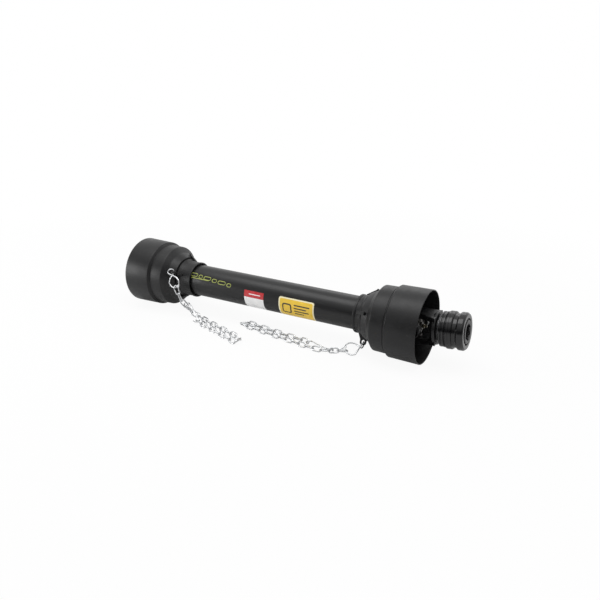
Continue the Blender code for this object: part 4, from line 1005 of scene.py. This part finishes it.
class DRIVESHAFT_OT_tube_yokes(bpy.types.Operator):
    """Inner yokes: forged fork and a hub with the bearing ring's groove"""
    bl_idname = "drive_shaft.tube_yokes"
    bl_label = "Tube Yokes"

    end_depth = 132
    groove_width = 7.6
    groove_floor = 27
    socket_start = 51.2
    pin_place = 68.5
    pin_bore = 4.3
    pin_reach = 34

    def execute(self, context):
        g = in_mm(context.scene.drive_shaft_guard)
        j = in_mm(context.scene.drive_shaft_joint)
        for side in ("right", "left"):
            start = -at(g.neck_depth + FIT)
            groove = start + self.groove_width
            floor = self.groove_floor
            end = -at(self.end_depth)
            bm = lathe(rounded([
                (j.crotch + 1, 0), (j.crotch + 1, j.tube_hub - 5), (j.base_end, j.tube_hub, 2),
                (start, j.tube_hub), (start, floor), (groove, floor), (groove, j.tube_hub),
                (end, j.tube_hub, 1), (end, 0)], 4), 128, closed=False)
            bm = combined(forged_fork(j, j.base), bm, "UNION")
            bm = combined(bm, ear_bores(j), "DIFFERENCE")
            # The socket takes a three-lobed profile tube; the outer tube's lobes stand the other way round
            socket_radius, lobe = (22.6, -2.3) if side == "right" else (18.9, 2.3)
            section = []
            for k in range(96):
                turn = math.tau * k / 96
                reach = socket_radius + lobe * math.cos(3 * turn)
                section.append((reach * math.cos(turn), reach * math.sin(turn)))
            bm = combined(bm, slab(section, self.socket_start, end + 5, ACROSS), "DIFFERENCE")
            half = [(-self.pin_reach, 0), (-self.pin_reach, self.pin_bore)]
            pin = lathe(half + [(-x, radius) for x, radius in reversed(half)], 40, closed=False)
            pin.transform(Matrix.Translation((self.pin_place, 0, 0)) @ about("Y", 90))
            bm = combined(bm, pin, "DIFFERENCE")
            where = half_frame(side) @ about("Z", 180)
            place(f"{side}_tube_yoke_forging", bm, where, f"drive_{side}", "black_paint", "forged",
                  [f"{side}_tube_yoke"])
        return {"FINISHED"}


class DRIVESHAFT_OT_crosses(bpy.types.Operator):
    """Crosses with their bearing caps, snap rings and grease nipples"""
    bl_idname = "drive_shaft.crosses"
    bl_label = "Crosses and Caps"

    def cross(self, j):
        reach = j.cross_length / 2 - 3.6
        shoulder = j.cross_length / 2 - j.cap_length - FIT
        arm = [(-reach, 0), (-reach, j.trunnion, 0.6), (-shoulder, j.trunnion), (-shoulder + 1, j.cross_body, 0.8)]
        arm += [(-x, *rest) for x, *rest in reversed(arm)]
        first = lathe(rounded(arm, 4), 64, closed=False)
        first.transform(about("Z", 90))
        second = lathe(rounded(arm, 4), 64, closed=False)
        second.transform(about("Y", 90))
        boss = lathe(rounded([(-13.5, 0), (-13.5, 8, 1.2), (13.5, 8, 1.2), (13.5, 0)], 4), 64, closed=False)
        return combined(combined(first, second, "UNION"), boss, "UNION")

    def cap(self, j):
        end = j.cross_length / 2
        room = j.trunnion + 0.5
        inner = end - j.cap_length
        groove = j.cap - 0.5
        outline = [(end - 0.5, 0), (end - 0.5, 3.2), (end, 3.8, 0.3), (end, j.cap, 1.0), (inner + 2.4, j.cap),
                   (inner + 2.0, groove), (inner + 1.4, groove), (inner + 1.0, j.cap), (inner, j.cap, 0.5),
                   (inner, room), (end - 3.3, room), (end - 3.3, 0)]
        return lathe(rounded(outline, 4), 96, closed=False)

    def snap_ring(self, j):
        """An open ring with two drilled lugs for the pliers."""
        low = j.cross_length / 2 + FIT
        high = low + 1.5
        inner, outer = 9.6, j.cap + 1
        open_at = 345.0
        lug_place = 8.7
        section = [(low, inner, 0.2), (low, outer, 0.2), (high, outer, 0.2), (high, inner, 0.2)]
        ring = lathe(rounded(section, 2), 92, sweep=open_at)
        for turn in (17.0, open_at - 17):
            lug = slab(circle(2.4, 28, lug_place), low + 0.02, high - 0.02, ACROSS)
            lug.transform(about("X", turn))
            ring = combined(ring, lug, "UNION")
            drill = slab(circle(1.1, 20, lug_place - 0.3), low - 2, high + 2, ACROSS)
            drill.transform(about("X", turn))
            ring = combined(ring, drill, "DIFFERENCE")
        return ring

    def nipple(self, j):
        foot = j.cross_body + 2.8
        nut = slab(circle(4.6, 6), foot, foot + 3.4, ACROSS, soften=0.4)
        tip = lathe(rounded([(foot + 3, 0), (foot + 3, 2.9), (foot + 4, 2.4, 0.4), (foot + 5.4, 2.1, 0.6),
                             (foot + 6.6, 3.1, 0.5), (foot + 7.6, 3.0, 0.6), (foot + 8.9, 1.7, 0.5),
                             (foot + 9, 0)], 4), 48, closed=False)
        return combined(nut, tip, "UNION")

    def execute(self, context):
        j = in_mm(context.scene.drive_shaft_joint)
        stand = {"rear": (0, 1, 0), "front": (0, -1, 0), "top": (0, 0, 1), "bottom": (0, 0, -1)}
        for side in ("right", "left"):
            cross = f"cross_{side}"
            # Cross, caps and snap rings take the darkened steel finish, which holds painted shade as well as grease.
            place(f"{side}_cross_body", self.cross(j), cross_frame(side), cross, "bright_steel", "greased",
                  [f"{side}_cross"])
            place(f"{side}_nipple", self.nipple(j), cross_frame(side), cross, "nipple_brass", "brass",
                  [f"{side}_grease_nipple"])
            for end, towards in stand.items():
                inner = end in ("rear", "front")
                where = half_frame(side) if inner else yoke_frame(side)
                body = f"drive_{side}" if inner else f"yoke_{side}"
                where = where @ Vector((1, 0, 0)).rotation_difference(Vector(towards)).to_matrix().to_4x4()
                place(f"{side}_needle_cap_{end}", self.cap(j), where, body, "bright_steel", "greased",
                      [f"{side}_cap_{end}"])
                place(f"{side}_circlip_{end}", self.snap_ring(j), where, body, "spring_steel", "greased",
                      [f"{side}_snap_ring_{end}"])
        return {"FINISHED"}


# Quick release

class DRIVESHAFT_OT_quick_release(bpy.types.Operator):
    """Ribbed release collars with their springs, retaining rings and lock balls"""
    bl_idname = "drive_shaft.quick_release"
    bl_label = "Quick Release"

    spring_room = 30.2
    shoulder = 80
    turns = 4
    ball_radius = 19.4
    sleeve = [(54, 33.6, 0.3), (54.6, 34.5, 0.4), (57.4, 34.5, 0.5), (58.1, 33.1, 0.3), (59.4, 33.1, 0.3),
              (60.1, 34.5, 0.5), (64.2, 34.9, 0.5), (65, 32.9, 0.4), (66.3, 32.9, 0.4), (67, 36.3, 0.6),
              (68.2, 37, 0.7), (71.8, 37, 0.3), (72.2, 36.6, 0.2), (72.8, 36.6, 0.2), (73.2, 37, 0.3),
              (77.4, 37, 0.8), (79, 35.9, 0.5), (79.7, 33.4, 1.0), (87.2, 33.4, 1.4), (88.4, 36, 0.5),
              (90, 37, 1.2), (98.6, 37, 1.8), (102, 34.2, 1.0), (102, 26.6, 0.4), (96.85, 26.6),
              (96.85, 23.8, 0.3), (shoulder, 23.8), (shoulder, spring_room, 0.5), (54, spring_room, 0.4)]

    def spring_line(self, j):
        middle = (j.hub + self.spring_room) / 2
        low = j.base_end + j.wire / 2 + FIT
        high = self.shoulder - j.wire / 2 - FIT
        count = 36 * self.turns
        path = []
        for k in range(count + 1):
            turn = math.tau * self.turns * k / count
            path.append(Vector((low + (high - low) * k / count, middle * math.cos(turn), middle * math.sin(turn))))
        return path

    def execute(self, context):
        j = in_mm(context.scene.drive_shaft_joint)
        for side in ("right", "left"):
            where = yoke_frame(side)
            yoke = f"yoke_{side}"
            place(f"{side}_release_sleeve", lathe(rounded(self.sleeve, 4), 144), where, f"collar_{side}",
                  "black_paint", "paint", [f"{side}_release_collar"])
            ring = lathe(rounded([(97.3, 22.4), (97.3, 25.7, 0.3), (98.9, 25.7, 0.3), (98.9, 22.4)], 3), 110,
                         sweep=344.0)
            ring.transform(about("X", 20))
            place(f"{side}_hub_ring", ring, where, yoke, "spring_steel", "spring", [f"{side}_retaining_ring"])
            spring = swept(self.spring_line(j), j.wire / 2, 12)
            place(f"{side}_release_spring", spring, where, yoke, "spring_steel", "spring",
                  [f"{side}_collar_spring"])
            for k in range(BALLS):
                ball = bmesh.new()
                bmesh.ops.create_icosphere(ball, subdivisions=4, radius=j.ball)
                ball.transform(ball_turn(k) @ Matrix.Translation((BALL_PLACE, 0, self.ball_radius)))
                place(f"{side}_ball_{k + 1}", ball, where, yoke, "bright_steel", "steel",
                      [f"{side}_lock_ball_{k + 1}"])
        return {"FINISHED"}


class DRIVESHAFT_OT_hidden_steel(bpy.types.Operator):
    """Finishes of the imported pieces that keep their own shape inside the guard"""
    bl_idname = "drive_shaft.hidden_steel"
    bl_label = "Inner Finishes"

    def execute(self, context):
        kept = {"profile_tube": "drawn", "bearing_ring": "nylon", "roll_pin": "spring"}
        for name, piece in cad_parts.items():
            for ending, colour in kept.items():
                if name.endswith(ending):
                    piece.data.materials.clear()
                    piece.data.materials.append(finishes()[colour])
        return {"FINISHED"}


# Stage

class DRIVESHAFT_OT_stage(bpy.types.Operator):
    """Pale floor, soft lamps, white surroundings and the camera"""
    bl_idname = "drive_shaft.stage"
    bl_label = "Stage"

    # Metres from the middle of the shaft
    camera_spot = Vector((0.7027, -1.1609, 0.5212))
    camera_target = Vector((0.0697, 0, 0.0016))
    # The floor fades into the white surroundings between these distances, in metres
    floor_fade = (0.55, 1.3)
    floor_white_near = 0.93
    floor_white_mirrored = 0.15

    def lamp(self, name, spot, width, depth, power):
        data = bpy.data.lights.new(name, "AREA")
        data.shape = "RECTANGLE"
        data.size = width
        data.size_y = depth
        data.energy = power
        lamp = bpy.data.objects.new(name, data)
        lamp.location = spot
        lamp.rotation_euler = (Vector((0, *AXIS)) - Vector(spot)).to_track_quat("-Z", "Y").to_euler()
        bpy.context.scene.collection.objects.link(lamp)

    def by_ray(self, tree, camera, mirrored, other):
        """One value for what the camera sees, one for reflections and one for the light that falls on the object."""
        path = tree.nodes.new("ShaderNodeLightPath").outputs
        reflected = calculated(tree, "MAXIMUM", path["Is Glossy Ray"], path["Is Transmission Ray"])
        return mixed(tree, path["Is Camera Ray"], mixed(tree, reflected, other, mirrored, "FLOAT"), camera, "FLOAT")

    def floor(self, colour):
        bm = bmesh.new()
        bmesh.ops.create_grid(bm, x_segments=8, y_segments=8, size=20)
        floor = linked("floor", bm)
        material = bpy.data.materials.new("studio_floor")
        material.use_nodes = True
        tree = material.node_tree
        shader = tree.nodes["Principled BSDF"]
        shader.inputs["Base Color"].default_value = (*colour, 1.0)
        shader.inputs["Roughness"].default_value = 0.9
        shader.inputs["Specular IOR Level"].default_value = 0.1
        glow = node(tree, "ShaderNodeEmission", Color=(1, 1, 1, 1), Strength=1.0)
        blend = tree.nodes.new("ShaderNodeMixShader")
        where = tree.nodes.new("ShaderNodeTexCoord")
        reach = tree.nodes.new("ShaderNodeVectorMath")
        reach.operation = "LENGTH"
        tree.links.new(where.outputs["Object"], reach.inputs[0])
        fade = spread(tree, reach.outputs["Value"], *self.floor_fade, self.floor_white_near, 1.0)
        tree.links.new(self.by_ray(tree, fade, self.floor_white_mirrored, 0.0), blend.inputs["Fac"])
        tree.links.new(shader.outputs[0], blend.inputs[1])
        tree.links.new(glow.outputs[0], blend.inputs[2])
        tree.links.new(blend.outputs[0], tree.nodes["Material Output"].inputs["Surface"])
        floor.data.materials.append(material)

    def world(self, strength, dark):
        """White behind and above the object, and a dim room on the camera's side."""
        world = bpy.data.worlds.new("studio")
        world.use_nodes = True
        tree = world.node_tree
        background = tree.nodes["Background"]
        background.inputs["Color"].default_value = (1, 1, 1, 1)
        where = tree.nodes.new("ShaderNodeTexCoord")
        parts = tree.nodes.new("ShaderNodeSeparateXYZ")
        tree.links.new(where.outputs["Generated"], parts.inputs[0])
        behind = spread(tree, parts.outputs["Y"], -0.5, 0.3, 0.0, 1.0)
        above = spread(tree, parts.outputs["Z"], 0.25, 0.8, 0.0, 1.0)
        room = spread(tree, calculated(tree, "MAXIMUM", behind, above), 0.0, 1.0, dark, 1.0)
        tree.links.new(self.by_ray(tree, 1.0, room, strength), background.inputs["Strength"])
        bpy.context.scene.world = world

    def execute(self, context):
        studio = context.scene.drive_shaft_studio
        self.floor(context.scene.drive_shaft_colours.floor)
        self.world(studio.ambient, studio.room)
        for name, spot, width, depth, power in (
                ("overhead_softbox", (0.0, -0.2, 1.5), 2.0, 0.8, studio.key),
                ("side_softbox", (-1.4, -0.9, 0.15), 0.8, 0.8, studio.fill),
                ("rear_strip", (0.1, 1.5, 1.1), 2.0, 0.35, studio.rim)):
            self.lamp(name, spot, width, depth, power)
        data = bpy.data.cameras.new("camera")
        data.lens = studio.lens
        data.sensor_width = 36
        data.clip_end = 50
        camera = bpy.data.objects.new("camera", data)
        camera.location = SHAFT + self.camera_spot
        target = SHAFT + self.camera_target
        aim = (target - camera.location).to_track_quat("-Z", "Y")
        camera.rotation_euler = (aim @ Quaternion((0, 0, 1), studio.roll)).to_euler()
        context.scene.collection.objects.link(camera)
        context.scene.camera = camera
        context.scene.view_settings.view_transform = "Standard"
        return {"FINISHED"}


STEPS = (DRIVESHAFT_OT_guard_cones, DRIVESHAFT_OT_guard_collars, DRIVESHAFT_OT_guard_tubes,
         DRIVESHAFT_OT_colour_fields, DRIVESHAFT_OT_chains, DRIVESHAFT_OT_splined_yokes, DRIVESHAFT_OT_tube_yokes,
         DRIVESHAFT_OT_crosses, DRIVESHAFT_OT_quick_release, DRIVESHAFT_OT_hidden_steel, DRIVESHAFT_OT_stage)

GROUPS = {"drive_shaft_guard": DriveShaftGuard, "drive_shaft_joint": DriveShaftJoint,
          "drive_shaft_chain": DriveShaftChain, "drive_shaft_colours": DriveShaftColours,
          "drive_shaft_studio": DriveShaftStudio}


class DRIVESHAFT_PT_panel(bpy.types.Panel):
    """Sizes, colours and steps of the drive shaft"""
    bl_idname = "DRIVESHAFT_PT_panel"
    bl_label = "Drive Shaft"
    bl_space_type = "VIEW_3D"
    bl_region_type = "UI"
    bl_category = "Drive Shaft"

    def draw(self, context):
        for step in STEPS:
            self.layout.operator(step.bl_idname)
        for group in GROUPS:
            box = self.layout.box()
            values = getattr(context.scene, group)
            for name in values.__annotations__:
                box.prop(values, name)


CLASSES = (*GROUPS.values(), *STEPS, DRIVESHAFT_PT_panel)


def register():
    for kind in CLASSES:
        bpy.utils.register_class(kind)
    for name, kind in GROUPS.items():
        setattr(bpy.types.Scene, name, PointerProperty(type=kind))


def unregister():
    for name in GROUPS:
        delattr(bpy.types.Scene, name)
    for kind in reversed(CLASSES):
        bpy.utils.unregister_class(kind)


def main():
    register()
    for step in STEPS:
        group, name = step.bl_idname.split(".")
        getattr(getattr(bpy.ops, group), name)()


if __name__ == "__main__":
    main()
